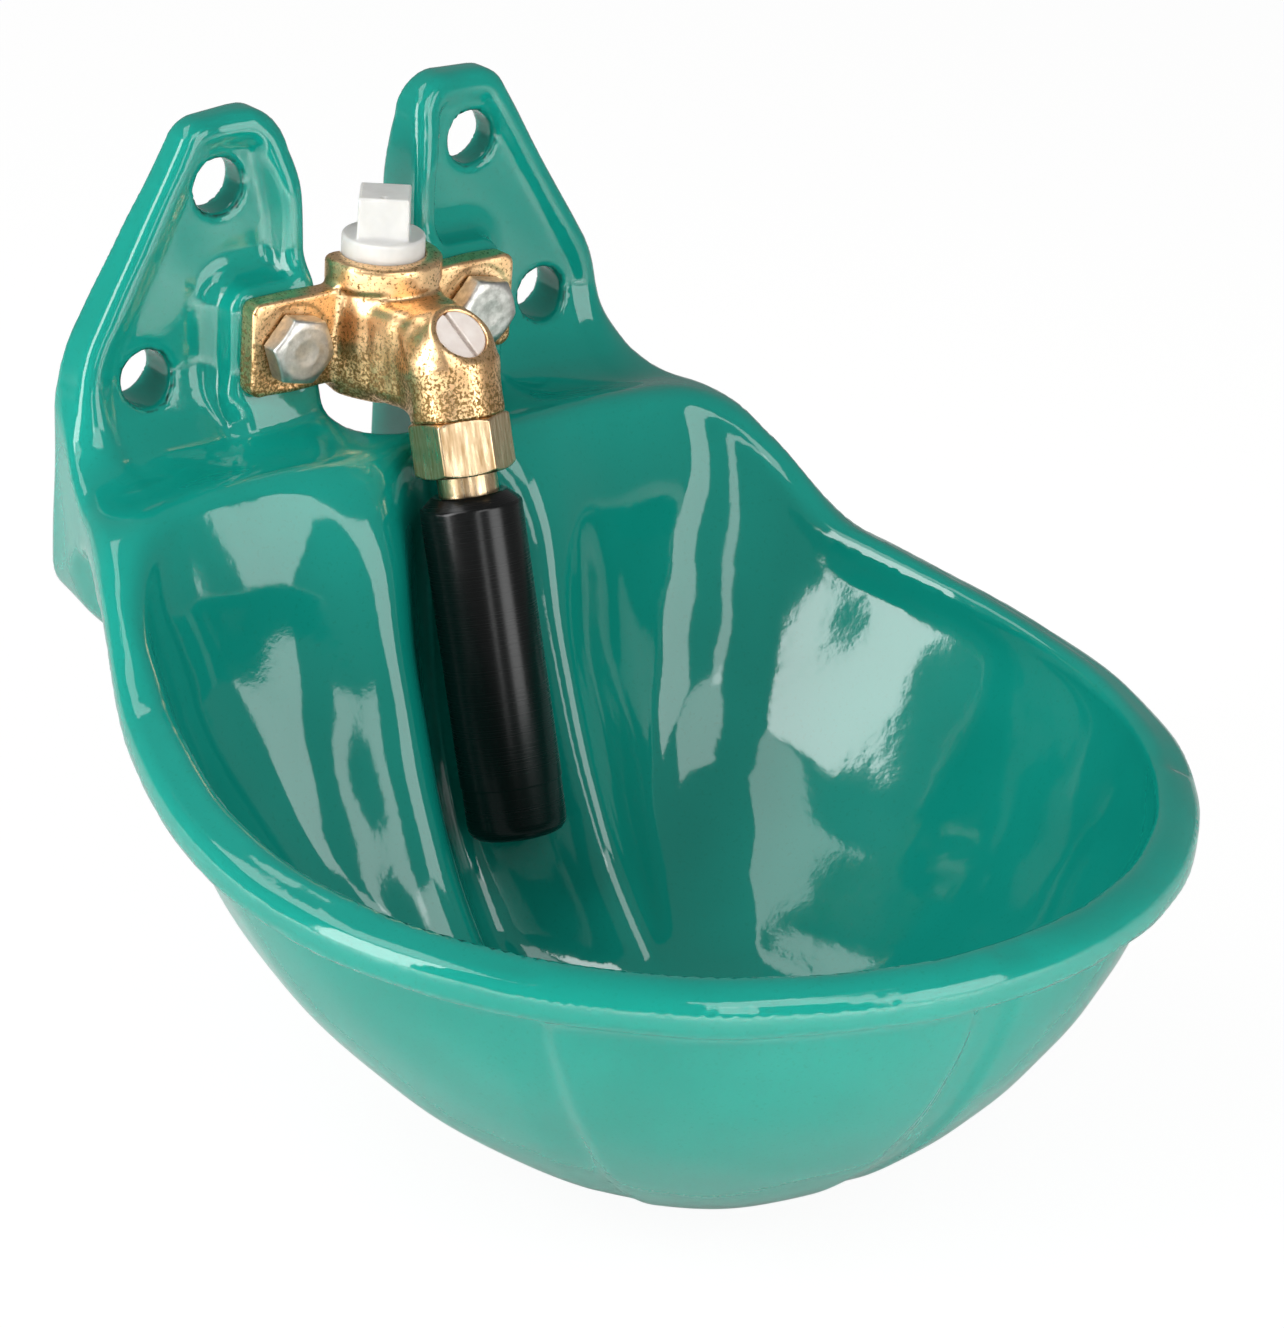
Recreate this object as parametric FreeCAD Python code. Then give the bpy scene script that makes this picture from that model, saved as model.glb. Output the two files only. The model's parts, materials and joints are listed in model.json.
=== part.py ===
# Livestock drinking bowl with a tube valve.
# Frame: wall plane at Y = 0, front towards -Y, +Z up, millimetres.
# Z = 0 is the height of the two upper wall-bolt holes, X = 0 is the mirror plane.
import FreeCAD, Part
import os
from math import sin, cos, tan, pi, radians, exp, sqrt, asin, atan2, log

V = FreeCAD.Vector
os.makedirs("parts", exist_ok=True)

# Wall side: ears, bolt holes and pads
ear_thick = 10.0          # plate thickness of an ear at the upper hole
ear_lean = 0.075          # the ear face comes forward by this much per mm downwards
ear_top = 18.0
ear_side = 79.0           # half width at the wall
ear_inner = 17.0          # half width of the gap between the ears
ear_rib = 5.0             # proud rib along the inner edge of an ear
ear_round = 3.0           # rounding of the ear's front edges
hole_r = 7.0
hole_round = 1.0
hole_top_x = 38.2
hole_low_x = 60.4
hole_low_z = -44.7
pad_proud_y = -21.0       # front face of the pads the valve flange sits on
pipe_r = 16.0             # half width of the supply pipe's way behind the bowl
pipe_y = -25.0            # axis of the supply pipe and of the valve barrel

# Bowl plan at the rim
plan_y = -147.0           # widest place of the bowl
rim_z = -105.0            # rim height along the front
rim_half_w = 125.8
rim_front = 128.2         # rim reach in front of the widest place
rim_wide_side = 11.8      # width of the rolled rim seen from above, at the sides
rim_wide_front = 10.2     # and at the front
rim_tall = 10.0
rim_round = 4.5           # rounding of the rim's upper outer edge
rim_under = 3.0           # and of its lower one
rim_over = 7.0            # how far the rim stands out from the bowl's side
rise = 46.0               # rise of the rim line towards the wall
rise_reach = 78.0
shoulder_crown = 10.0      # the shoulder stands higher in the middle
bowl_deep = 104.0         # outside depth below the rim
floor_thick = 9.0
side_p = 1.55             # powers of the depth law, sideways
side_n = 1.75
front_p = 1.35            # and towards the front
front_n = 1.9
hollow_top = -62.0
shoulder_top = -46.0
front_more = 2.6          # the front wall gets this much thicker below the rim
flank_power = 1.23        # how soon the side leaves its widest place on the way to the wall
front_shift = 16.0        # the underside lies this far in front of the widest place
in_deep = bowl_deep - floor_thick - 1.0
back_low = -150.0         # below this the bowl's back leaves the wall
past_wall = 3.0           # the rounded forms run on into the wall, which then cuts them flat
low_cut = rim_z - bowl_deep + 4.0

# Raised fields on the outside, as angles from the front
groove_half = 8.0
field_edge = 54.5
field_step = 7.0
field_proud = 2.2

# Sleeve channel at the back of the bowl
ridge_x = 25.0            # half width between the ridges beside the channel

# Valve
port_r = 10.48            # G 1/2 thread, drawn as a plain bore at its major size
barrel_r = 13.7
collar_r = 14.7
collar_tall = 6.6
barrel_top = -18.4
barrel_low = -53.0
port_deep = 12.0
flange_half = 39.4
flange_top = -25.0
flange_low = -49.5
flange_front = -27.0
bolt_x = 27.9
bolt_z = -37.2
bolt_r = 5.0              # M10
bolt_af = 16.0
bolt_head = 6.4
bolt_len = 25.0
nut_tall = 8.4
washer_r = 9.0
washer_thick = 1.6
nut_pocket_r = 9.6
nut_pocket_deep = 12.2

# Stem line: starts at the top face of the union nut and leans forward
stem_y = -58.6
stem_z = -50.5
stem_lean = 18.0
chamber_r = 11.7
bore_r = 7.0
union_af = 22.0
union_tall = 14.0
spigot_r = 9.5
spigot_len = 7.0
tube_r = 7.5
ball_r = 8.8              # round shoulder of the stem that rocks in the nut
pivot_s = 10.3            # its centre, measured along the stem line
nut_hole_r = 8.1
pin_r = 2.5
pin_dome = 5.0
pin_hole_r = 4.5
tube_bore = 5.0
sleeve_r = 12.75
sleeve_start = 19.0
sleeve_end = 105.5
sleeve_step = 92.0
run_gap = 0.05            # radial clearance of a running fit
soft_gap = 0.3            # clearance left around soft rings

# Flow screw: leans up towards the front
screw_rise = 48.8
screw_y = -58.5
screw_z = -29.2
screw_r = 6.7
screw_slot_turn = 103.0   # how far the slot is turned from the across direction
boss_r = 8.2


def cyl(p, d, r, h):
    return Part.makeCylinder(r, h, p, d)


def ring(p, d, r_out, r_in, h):
    return cyl(p, d, r_out, h).cut(cyl(p - d * 1.0, d, r_in, h + 2.0))


def box(x0, x1, y0, y1, z0, z1):
    return Part.makeBox(x1 - x0, y1 - y0, z1 - z0, V(x0, y0, z0))


def mirror(shape):
    return shape.mirror(V(0, 0, 0), V(1, 0, 0))


def both(shape):
    return shape.fuse(mirror(shape))


def hexagon(p, d, flat, af, h):
    # flat is the direction of one flat's normal
    u = flat - d * flat.dot(d)
    u.normalize()
    w = d.cross(u)
    rc = af / 2.0 / cos(pi / 6)
    pts = []
    for i in range(7):
        a = pi / 6 + i * pi / 3
        pts.append(p + u * (rc * cos(a)) + w * (rc * sin(a)))
    return Part.Face(Part.makePolygon(pts)).extrude(d * h)


def chamfer_cone(p, d, r, h, c):
    # a turned blank whose far edge is bevelled at 30 degrees
    body = cyl(p, d, r, h - c)
    tip = Part.makeCone(r, r - c / tan(radians(30)), c, p + d * (h - c), d)
    return body.fuse(tip)


def save(name, shape):
    if len(shape.Solids) == 1:
        shape = shape.Solids[0]
    else:
        shape = shape.removeSplitter()
        if len(shape.Solids) == 1:
            shape = shape.Solids[0]
    print(name, "solids", len(shape.Solids), "volume", round(shape.Volume / 1000, 2), shape.isValid())
    shape.exportStep("parts/" + name + ".step")


def fillet_some(shape, radius, want):
    edges = [e for e in shape.Edges if want(e)]
    if not edges:
        return shape
    try:
        out = shape.makeFillet(radius, edges)
        if out.isValid() and out.Volume > 0:
            return out
    except Exception as err:
        print("fillet left out", radius, len(edges), err)
    return shape


# Rim line and top surface
def rim_line(y):
    return rim_z + rise * exp(-(abs(min(y, 0.0)) / rise_reach) ** 2.1)


def top_height(x, y):
    across = max(0.0, 1.0 - (x / 95.0) ** 2)
    along = exp(-((y + 36.0) / 28.0) ** 2)
    return rim_line(y) + shoulder_crown * across * along


# Depth law of the outside and the inside, t = 0 at the rim and 1 at the lowest place
def shrink(t, p, n):
    return max(0.0, 1.0 - t ** p) ** (1.0 / n)


def flank(u):
    # side of the bowl from the widest place (0) to the wall (1)
    return sin(pi / 2 * max(0.0, 1.0 - u) ** flank_power)


def soft_drop(value, soft):
    # zero above, growing one for one below, with a smooth bend in between
    return soft * log(1.0 + exp(value / soft))


def smooth_low(a, b, soft):
    # the smaller of two values with a rounded meeting
    h = max(0.0, min(1.0, 0.5 + 0.5 * (b - a) / soft))
    return b + (a - b) * h - soft * h * (1.0 - h)


def skirt(z):
    # half width of the casting where it meets the wall
    return max(24.0, ear_side - 0.61 * soft_drop(-78.0 - z, 4.0))


def field(angle):
    # height of the raised fields over the plain outside, angle from the front in degrees
    a = abs(angle)
    up = 0.5 - 0.5 * cos(pi * min(1.0, a / groove_half))
    down = 0.5 + 0.5 * cos(pi * min(1.0, max(0.0, (a - field_edge + field_step / 2) / field_step)))
    return field_proud * (up * down - 1.0)


def closed_wire(points):
    curve = Part.BSplineCurve()
    curve.interpolate(points, PeriodicFlag=True)
    return Part.Wire([curve.toShape()])


def outer_points(z, half_w, reach, with_field):
    # half outline from the front middle round to the wall, then mirrored
    t = outer_depth(z)
    s = shrink(t, side_p, side_n)
    sf = shrink(t, front_p, front_n)
    yc = plan_y - front_shift * t
    a = half_w * s
    b = reach * sf
    back = back_reach(z, yc)
    wall_w = min(skirt(z), a * 0.92)
    pts = []
    for i in range(16):
        ang = i * 6.0
        lift = field(ang) * min(1.0, s * 1.6) if with_field else 0.0
        x = (a + lift) * sin(radians(ang))
        y = yc - (b + lift) * cos(radians(ang))
        pts.append(V(x, y, z))
    n = 9
    for i in range(1, n + 1):
        u = i / n
        y = yc + (back - yc) * u
        x = wall_w + (a + lift - wall_w) * flank(u)
        pts.append(V(x, y, z))
    return pts


def outer_section(z, half_w, reach, with_field=True):
    half = outer_points(z, half_w, reach, with_field)
    left = [V(-p.x, p.y, p.z) for p in reversed(half[1:])]
    front = Part.BSplineCurve()
    front.interpolate(left + half)
    closing = Part.LineSegment(half[-1], left[0])
    return Part.Wire([front.toShape(), closing.toShape()])


def inner_back(x, z):
    # back wall of the hollow: a channel in the middle, a ridge beside it, a lobe on each side
    d = max(0.0, hollow_top - z)
    ridge = -60.0 - 0.28 * d - 1.19e-7 * d ** 4
    lobe = ridge + 3.0 + 10.0 * (1.0 - exp(-d / 25.0))
    roll = 3.0 * max(0.0, min(1.1, (z + 82.0) / 18.0)) ** 2
    channel = -46.5 - 0.085 * d - 26.0 * (d / 120.0) ** 4
    a = abs(x)
    if a < ridge_x:
        mid = 0.5 + 0.5 * cos(pi * a / ridge_x)
        return ridge + (channel - ridge) * mid + roll * (1.0 - mid)
    return lobe + (ridge - lobe) * exp(-((a - ridge_x) / 17.0) ** 2) + roll


def outer_depth(z):
    return min(0.995, max(0.0, (rim_z - 5.0 - z) / (bowl_deep - 5.0)))


def back_reach(z, yc):
    # where the outside ends behind: past the wall, or short of it near the bottom
    if z >= back_low:
        return past_wall
    k = min(1.0, (back_low - z) / (back_low - (rim_z - bowl_deep)))
    return past_wall + (yc + 3.0) * (1.0 - sqrt(max(0.0, 1.0 - k ** 1.6)))


def inner_side(x, z, a_in):
    # the hollow's side follows the outside's flank, one wall further in
    t = outer_depth(z)
    yc = plan_y - front_shift * t
    a_out = (rim_half_w - rim_over) * shrink(t, side_p, side_n)
    wide = min(skirt(z), a_out * 0.92)
    share = (x + a_out - a_in - wide) / (a_out - wide)
    if share <= 0.0:
        return 0.0
    u = 1.0 - (asin(min(1.0, share)) * 2 / pi) ** (1 / flank_power)
    return yc + u * (back_reach(z, yc) - yc)


def inner_section(z):
    t = min(0.995, max(0.0, (rim_z - 1.0 - z) / in_deep))
    yc = plan_y - front_shift * t
    a_in = (rim_half_w - rim_wide_side) * shrink(t, side_p, side_n)
    b_in = (rim_front - rim_wide_front) * shrink(t, front_p, front_n) - front_more * min(1.0, t * 6.0)
    half = []
    for i in range(0, 16):
        ang = radians(i * 6.0)
        half.append(V(a_in * sin(ang), yc - b_in * cos(ang), z))
    for i in range(1, 31):
        ang = radians(90.0 + i * 3.0)
        x = a_in * sin(ang)
        y = max(inner_side(x, z, a_in), yc)
        half.append(V(x, smooth_low(y, inner_back(x, z), 16.0), z))
    left = [V(-p.x, p.y, p.z) for p in reversed(half[1:-1])]
    return closed_wire(half + left)


def loft(wires):
    return Part.makeLoft(wires, True, False, False, 5)


def plan_prism(half_w, reach, z0, z1):
    wire = outer_section_plain(half_w, reach, z0)
    return Part.Face(wire).extrude(V(0, 0, z1 - z0))


def outer_section_plain(half_w, reach, z0):
    half = []
    for i in range(16):
        ang = radians(i * 6.0)
        half.append(V(half_w * sin(ang), plan_y - reach * cos(ang), z0))
    n = 9
    for i in range(1, n + 1):
        u = i / n
        y = plan_y + (past_wall - plan_y) * u
        half.append(V(ear_side + (half_w - ear_side) * flank(u), y, z0))
    left = [V(-p.x, p.y, p.z) for p in reversed(half[1:])]
    curve = Part.BSplineCurve()
    curve.interpolate(left + half)
    return Part.Wire([curve.toShape(), Part.LineSegment(half[-1], left[0]).toShape()])


def height_face(drop):
    rows = []
    for i in range(15):
        x = -140.0 + 20.0 * i
        row = []
        for j in range(31):
            y = -290.0 + 10.0 * j
            row.append(V(x, y, top_height(x, y) - drop))
        rows.append(row)
    surface = Part.BSplineSurface()
    surface.interpolate(rows)
    return surface.toShape()


def ear():
    # outline of the right ear seen from the front, straight lines and arcs
    def arc(a, b, c):
        return Part.Arc(a, b, c).toShape()

    def line(a, b):
        return Part.LineSegment(a, b).toShape()

    p0 = V(ear_inner - 1.0, 0, -70)
    p1 = V(ear_inner - 1.0, 0, -14)
    p2 = V(ear_inner + 2.2, 0, 7)
    p3 = V(ear_inner + 4.6, 0, 13.6)
    p4 = V(ear_inner + 12, 0, ear_top)
    p5 = V(42, 0, ear_top - 0.8)
    p6 = V(49.2, 0, 11.6)
    p7 = V(73.2, 0, -29)
    p8 = V(77.6, 0, -38)
    p9 = V(ear_side, 0, -50)
    p10 = V(ear_side, 0, -70)
    edges = [line(p0, p1), arc(p1, V(ear_inner - 0.2, 0, -3.5), p2), arc(p2, p3, p4), line(p4, p5),
             arc(p5, V(46.4, 0, 15.4), p6), line(p6, p7), arc(p7, p8, p9), line(p9, p10), line(p10, p0)]
    plate = Part.Face(Part.Wire(edges)).extrude(V(0, -ear_thick - 8.0, 0))
    # lean of the front face
    lean = atan2(ear_lean, 1.0)
    front = box(-5, 120, -80, 0, -140, 60)
    front.rotate(V(0, 0, 0), V(1, 0, 0), -lean * 180 / pi)
    front.translate(V(0, -ear_thick, 0))
    plate = plate.cut(front)
    return fillet_some(plate, ear_round, on_ear_front)


def on_ear_front(edge):
    b = edge.BoundBox
    return b.YMax < -ear_thick + 20 * ear_lean and b.ZMax > -60


def polygon(points, y):
    pts = [V(x, y, z) for x, z in points]
    return Part.makePolygon(pts + [pts[0]])


def front_edges(y):
    return lambda e: abs(e.BoundBox.YMin - y) < 0.01 and abs(e.BoundBox.YMax - y) < 0.01


def rib():
    # drafted rib along the inner edge of an ear
    foot = [(16, -62), (31, -62), (31, -6), (28, 12.5), (21.5, 12.5), (17.3, 2), (16, -10)]
    face = [(17, -61), (23.5, -61), (23.5, -8), (22.5, 2), (20.5, 3), (18.6, -1), (17.2, -10)]
    y = -ear_thick - ear_rib
    block = Part.makeLoft([polygon(foot, -8.0), polygon(face, y)], True, True)
    return fillet_some(block, 1.8, front_edges(y))


def pad():
    # drafted pad the valve flange is bolted to
    foot = [(16, -60), (52, -60), (52, -14), (16, -14)]
    face = [(17.5, -55), (41.5, -55), (41.5, -22.5), (17.5, -22.5)]
    block = Part.makeLoft([polygon(foot, -8.0), polygon(face, pad_proud_y)], True, True)
    return fillet_some(block, 2.0, front_edges(pad_proud_y))


def levels(top, low, count, ease):
    # heights from top to low, closer together towards the low end
    out = []
    for i in range(count + 1):
        f = i / count
        out.append(top + (low - top) * (f + ease * f * (1.0 - f)))
    return out


def shell_outside():
    half_w = rim_half_w - rim_over
    reach = rim_front - rim_over
    wires = [outer_section(z, half_w, reach) for z in levels(shoulder_top, low_cut, 19, 0.3)]
    return loft(wires)


def shell_hollow():
    wires = [inner_section(z) for z in levels(hollow_top, rim_z - in_deep + 4.0, 15, 0.3)]
    upper = Part.Face(wires[0]).extrude(V(0, 0, 90))
    keep = box(-200, 200, -400, -40.5, -260, 60)
    return loft(wires).fuse(upper).common(keep)


def bowl():
    above = height_face(0.0).extrude(V(0, 0, 220))
    below = height_face(rim_tall).extrude(V(0, 0, -260))
    roll = plan_prism(rim_half_w, rim_front, -150.0, 0.0).cut(below)
    roll = fillet_some(roll, rim_under, lambda e: e.Length > 400 and e.BoundBox.ZMax < -64)
    wall = box(-300, 300, 0, 60, -300, 100)
    body = shell_outside().fuse(roll).cut(above).cut(wall)
    body = fillet_some(body, rim_round, lambda e: e.Length > 400 and e.BoundBox.ZMax > -64)
    body = body.cut(shell_hollow())
    wall_side = ear().fuse(rib()).fuse(pad())
    body = body.fuse(both(wall_side))
    # hollows behind, closed by the wall
    side = polygon([(24, -74), (68, -74), (66, -80), (34, -134), (24, -134)], 0)
    deep = [V(0, 5, -74), V(0, -36, -74), V(0, -46, -104), V(0, -54, -134), V(0, 5, -134)]
    deep = Part.makePolygon(deep + [deep[0]])
    recess = Part.Face(side).extrude(V(0, -100, 0)).common(Part.Face(deep).extrude(V(120, 0, 0)))
    body = body.cut(recess).cut(mirror(recess))
    # way of the supply pipe behind the bowl
    way = cyl(V(0, pipe_y, -300), V(0, 0, 1), pipe_r, 400)
    way = way.fuse(box(-pipe_r, pipe_r, pipe_y, 10, -300, 100))
    body = body.cut(way)
    # wall-bolt holes
    for x, z in ((hole_top_x, 0.0), (hole_low_x, hole_low_z)):
        for sx in (-1, 1):
            body = body.cut(cyl(V(sx * x, 5, z), V(0, -1, 0), hole_r, 60))
    # pockets for the nuts of the flange bolts, and the bolts' own holes
    for sx in (-1, 1):
        body = body.cut(cyl(V(sx * bolt_x, 5, bolt_z), V(0, -1, 0), nut_pocket_r, 5 + nut_pocket_deep))
        body = body.cut(cyl(V(sx * bolt_x, 5, bolt_z), V(0, -1, 0), bolt_r + 0.5, 60))
    return body


def stem_point(s):
    a = radians(stem_lean)
    return V(0, stem_y - s * sin(a), stem_z - s * cos(a))


stem_dir = V(0, -sin(radians(stem_lean)), -cos(radians(stem_lean)))
screw_dir = V(0, -cos(radians(screw_rise)), sin(radians(screw_rise)))
screw_face = V(0, screw_y, screw_z)


def screw_point(depth):
    return screw_face - screw_dir * depth


def rounded_rect(half_w, z0, z1, y, r):
    x0, x1 = -half_w, half_w
    k = r * (1 - cos(pi / 4))
    e = []
    e.append(Part.LineSegment(V(x0 + r, y, z0), V(x1 - r, y, z0)).toShape())
    e.append(Part.Arc(V(x1 - r, y, z0), V(x1 - k, y, z0 + k), V(x1, y, z0 + r)).toShape())
    e.append(Part.LineSegment(V(x1, y, z0 + r), V(x1, y, z1 - r)).toShape())
    e.append(Part.Arc(V(x1, y, z1 - r), V(x1 - k, y, z1 - k), V(x1 - r, y, z1)).toShape())
    e.append(Part.LineSegment(V(x1 - r, y, z1), V(x0 + r, y, z1)).toShape())
    e.append(Part.Arc(V(x0 + r, y, z1), V(x0 + k, y, z1 - k), V(x0, y, z1 - r)).toShape())
    e.append(Part.LineSegment(V(x0, y, z1 - r), V(x0, y, z0 + r)).toShape())
    e.append(Part.Arc(V(x0, y, z0 + r), V(x0 + k, y, z0 + k), V(x0 + r, y, z0)).toShape())
    return Part.Wire(e)


def valve_body():
    up = V(0, 0, 1)
    axis = V(0, pipe_y, 0)
    barrel = cyl(axis + V(0, 0, barrel_low + 1.5), up, barrel_r, barrel_top - barrel_low - 1.5)
    foot = Part.makeCone(barrel_r - 1.5, barrel_r, 1.5, axis + V(0, 0, barrel_low), up)
    collar = cyl(axis + V(0, 0, barrel_top - collar_tall), up, collar_r, collar_tall)
    collar = fillet_some(collar, 0.8, lambda e: e.BoundBox.ZLength < 0.01)
    flange = box(-flange_half, flange_half, flange_front, pad_proud_y, flange_low, flange_top)
    flange = fillet_some(flange, 3.0, lambda e: e.BoundBox.YLength > 4)
    def front_edge(e):
        return e.BoundBox.YLength < 0.01 and abs(e.BoundBox.YMin - flange_front) < 0.1

    flange = fillet_some(flange, 0.9, front_edge)
    # arm from the barrel to the valve chamber
    arm = Part.makeLoft([rounded_rect(13.0, -52.5, -26.5, pipe_y - 1.0, 6.0),
                         rounded_rect(12.2, -52.5, -25.5, -38.0, 6.0),
                         rounded_rect(9.6, -51.5, -25.5, -51.0, 5.5)], True)
    chamber = cyl(stem_point(-13.5), stem_dir, chamber_r, 13.5)
    elbow = Part.makeCone(boss_r, chamber_r - 0.5, 7.5, screw_point(0.0), screw_dir * -1)
    knee = Part.makeSphere(chamber_r, stem_point(-13.5)).cut(cyl(screw_point(1.5), screw_dir, 30, 30))
    spigot = cyl(stem_point(0.0), stem_dir, spigot_r - run_gap, spigot_len)
    body = barrel.fuse(foot).fuse(collar).fuse(flange).fuse(arm).fuse(knee).fuse(elbow)
    body = body.fuse(chamber).fuse(spigot).removeSplitter()
    # bores
    body = body.cut(cyl(axis + V(0, 0, barrel_low - 1), up, 9.0, 60))
    body = body.cut(cyl(axis + V(0, 0, barrel_top - port_deep), up, port_r, port_deep + 5))
    body = body.cut(cyl(axis + V(0, 0, barrel_low - 5), up, port_r, port_deep + 5))
    body = body.cut(cyl(V(0, pipe_y, -38.0), V(0, -1, 0), 4.0, 27.0))
    body = body.cut(cyl(stem_point(-15.0), stem_dir, 4.0, 10.0))
    body = body.cut(cyl(stem_point(-9.0), stem_dir, bore_r, 20.0))
    body = body.cut(cyl(screw_point(-1.0), screw_dir * -1, screw_r + run_gap, 6.2))
    body = body.cut(cyl(screw_point(-1.0), screw_dir * -1, 3.5 + run_gap, 13.5))
    for sx in (-1, 1):
        body = body.cut(cyl(V(sx * bolt_x, -60, bolt_z), V(0, 1, 0), bolt_r + 0.5, 60))
        # spot face that gives the bolt head room beside the barrel
        body = body.cut(cyl(V(sx * bolt_x, flange_front, bolt_z), V(0, -1, 0), 10.6, 12))
    return body


def inlet_plug():
    up = V(0, 0, 1)
    low = barrel_top - port_deep + 1.0
    shoulder = -13.4
    thread = cyl(V(0, pipe_y, low), up, port_r - 0.08, shoulder - low)
    thread = fillet_some(thread, 0.7, lambda e: e.BoundBox.ZLength < 0.01)
    side = 12.0
    top = -2.2
    head = box(-side / 2, side / 2, -side / 2, side / 2, 0, top - shoulder + 1.0)
    head = fillet_some(head, 0.5, lambda e: True)
    head.rotate(V(0, 0, 0), up, -38.0)
    head.translate(V(0, pipe_y, shoulder - 1.0))
    plug = thread.fuse(head)
    return plug.cut(cyl(V(0, pipe_y, low - 1), up, 7.2, 12.0))


def flow_screw():
    head = cyl(screw_point(5.0), screw_dir, screw_r, 5.0)
    head = fillet_some(head, 0.5, lambda e: e.BoundBox.XLength > 10)
    groove = ring(screw_point(4.2), screw_dir, screw_r + 1, screw_r - 1.5, 2.0)
    shank = cyl(screw_point(9.0), screw_dir, 3.5, 4.5)
    tip = Part.makeCone(1.4, 3.5, 2.6, screw_point(11.6), screw_dir)
    slot = box(-10, 10, -0.65, 0.65, -1.6, 3.0)
    slot.rotate(V(0, 0, 0), V(0, 0, 1), screw_slot_turn)
    slot.rotate(V(0, 0, 0), V(1, 0, 0), 90 - screw_rise)
    slot.translate(screw_face)
    return head.cut(groove).fuse(shank).fuse(tip).cut(slot)


def flow_screw_ring():
    # round sealing ring in the screw's groove
    r = 0.68
    mid = screw_r - 1.5 + r + 0.04
    return Part.makeTorus(mid, r, screw_point(3.2), screw_dir)


def union_nut():
    d = stem_dir
    p = stem_point(0.0)
    flat = V(0.5, -cos(pi / 6), 0)
    blank = hexagon(p, d, flat, union_af, union_tall)
    turned = chamfer_cone(p, d, union_af / 2 / cos(pi / 6) - 0.1, union_tall, 1.0)
    lead = Part.makeCone(union_af / 2 + 0.4, union_af / 2 / cos(pi / 6) + 0.6, 1.2, p, d)
    lead = lead.fuse(cyl(p + d * 1.2, d, 20, union_tall))
    nut = blank.common(turned).common(lead)
    nut = nut.cut(cyl(p - d, d, spigot_r, 10.5))
    nut = nut.cut(cyl(p, d, ball_r + run_gap, pivot_s))
    nut = nut.cut(Part.makeSphere(ball_r + run_gap, stem_point(pivot_s)))
    return nut.cut(cyl(p, d, nut_hole_r, 20))


def valve_seat():
    d = stem_dir
    hat = cyl(stem_point(8.0), d, 9.3, 1.5)
    hub = cyl(stem_point(1.8), d, bore_r - run_gap, 6.2)
    lip = Part.makeCone(5.2, 6.0, 1.8, stem_point(0.0), d)
    seat = hat.fuse(hub).fuse(lip)
    return seat.cut(cyl(stem_point(-2), d, pin_hole_r, 20))


def seat_gasket():
    return ring(stem_point(7.0), stem_dir, 9.3, bore_r + 0.05, 1.0)


def valve_pin():
    d = stem_dir
    head = cyl(stem_point(-3.2), d, 6.0, 1.8)
    head = fillet_some(head, 0.4, lambda e: e.BoundBox.XLength > 10)
    tip_s = pivot_s - run_gap
    shank = cyl(stem_point(-2.0), d, pin_r, tip_s - pin_dome + 2.0)
    # a domed tip, so that the tilting stem rocks on it
    dome = cyl(stem_point(-2.0), d, pin_r, tip_s + 3.0)
    dome = dome.common(Part.makeSphere(pin_dome, stem_point(tip_s - pin_dome)))
    return head.fuse(shank).fuse(dome)


def pin_seal():
    return ring(stem_point(-1.4), stem_dir, 5.9, pin_r, 1.4)


def stem_tube():
    d = stem_dir
    ball = Part.makeSphere(ball_r, stem_point(pivot_s)).common(cyl(stem_point(pivot_s), d, 20, 3.4))
    tube = cyl(stem_point(pivot_s), d, tube_r, sleeve_start + 23.0 - pivot_s)
    body = ball.fuse(tube)
    body = body.cut(cyl(stem_point(pivot_s + 3.0), d, tube_bore, 40))
    # water ways around the place where the pin stands
    side = V(1, 0, 0)
    up = d.cross(side)
    for i in range(4):
        a = i * pi / 2 + pi / 4
        p = stem_point(pivot_s - 1.0) + side * (4.4 * cos(a)) + up * (4.4 * sin(a))
        body = body.cut(cyl(p, d, 1.3, 6))
    return body


def nozzle_sleeve():
    d = stem_dir
    n = sleeve_end - sleeve_start
    outer = Part.makeCone(sleeve_r - 3.3, sleeve_r, 3.1, stem_point(sleeve_start), d)
    outer = outer.fuse(cyl(stem_point(sleeve_start + 3.1), d, sleeve_r, sleeve_step - sleeve_start - 3.1))
    end = cyl(stem_point(sleeve_step), d, sleeve_r - 0.25, sleeve_end - sleeve_step)
    low = stem_point(sleeve_end)
    end = fillet_some(end, 3.2, lambda e: abs((e.BoundBox.Center - low).Length) < 0.2)
    sleeve = outer.fuse(end)
    sleeve = sleeve.cut(cyl(stem_point(sleeve_start - 1), d, tube_r, 24.0))
    return sleeve.cut(cyl(stem_point(sleeve_start), d, 5.0, n + 10))


def return_spring():
    wire_r = 0.45
    coil_r = 4.6
    pitch = 1.5
    turns = 3.0
    steps = 12
    pts = []
    for i in range(int(turns * steps) + 1):
        a = i * 2 * pi / steps
        pts.append(V(coil_r * cos(a), coil_r * sin(a), pitch * i / steps))
    profile = Part.Wire(Part.makeCircle(wire_r, pts[0], pts[1] - pts[0]))
    coil = Part.makePolygon(pts).makePipeShell([profile], True, False, 1)
    coil.rotate(V(0, 0, 0), V(1, 0, 0), -stem_lean)
    coil.translate(stem_point(-3.2 - wire_r - 0.1))
    return coil


def flange_bolt(sx):
    d = V(0, 1, 0)
    p = V(sx * bolt_x, flange_front, bolt_z)
    flat = V(sin(radians(12)), 0, cos(radians(12)))
    head = hexagon(p, d * -1, flat, bolt_af, bolt_head)
    head = head.common(chamfer_cone(p, d * -1, bolt_af / 2 / cos(pi / 6) - 0.05, bolt_head, 0.9))
    shank = cyl(p - d * 1.0, d, bolt_r, bolt_len)
    tip = Part.makeCone(bolt_r, bolt_r - 1.0, 1.0, p + d * (bolt_len - 1.0), d)
    return head.fuse(shank).fuse(tip)


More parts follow.
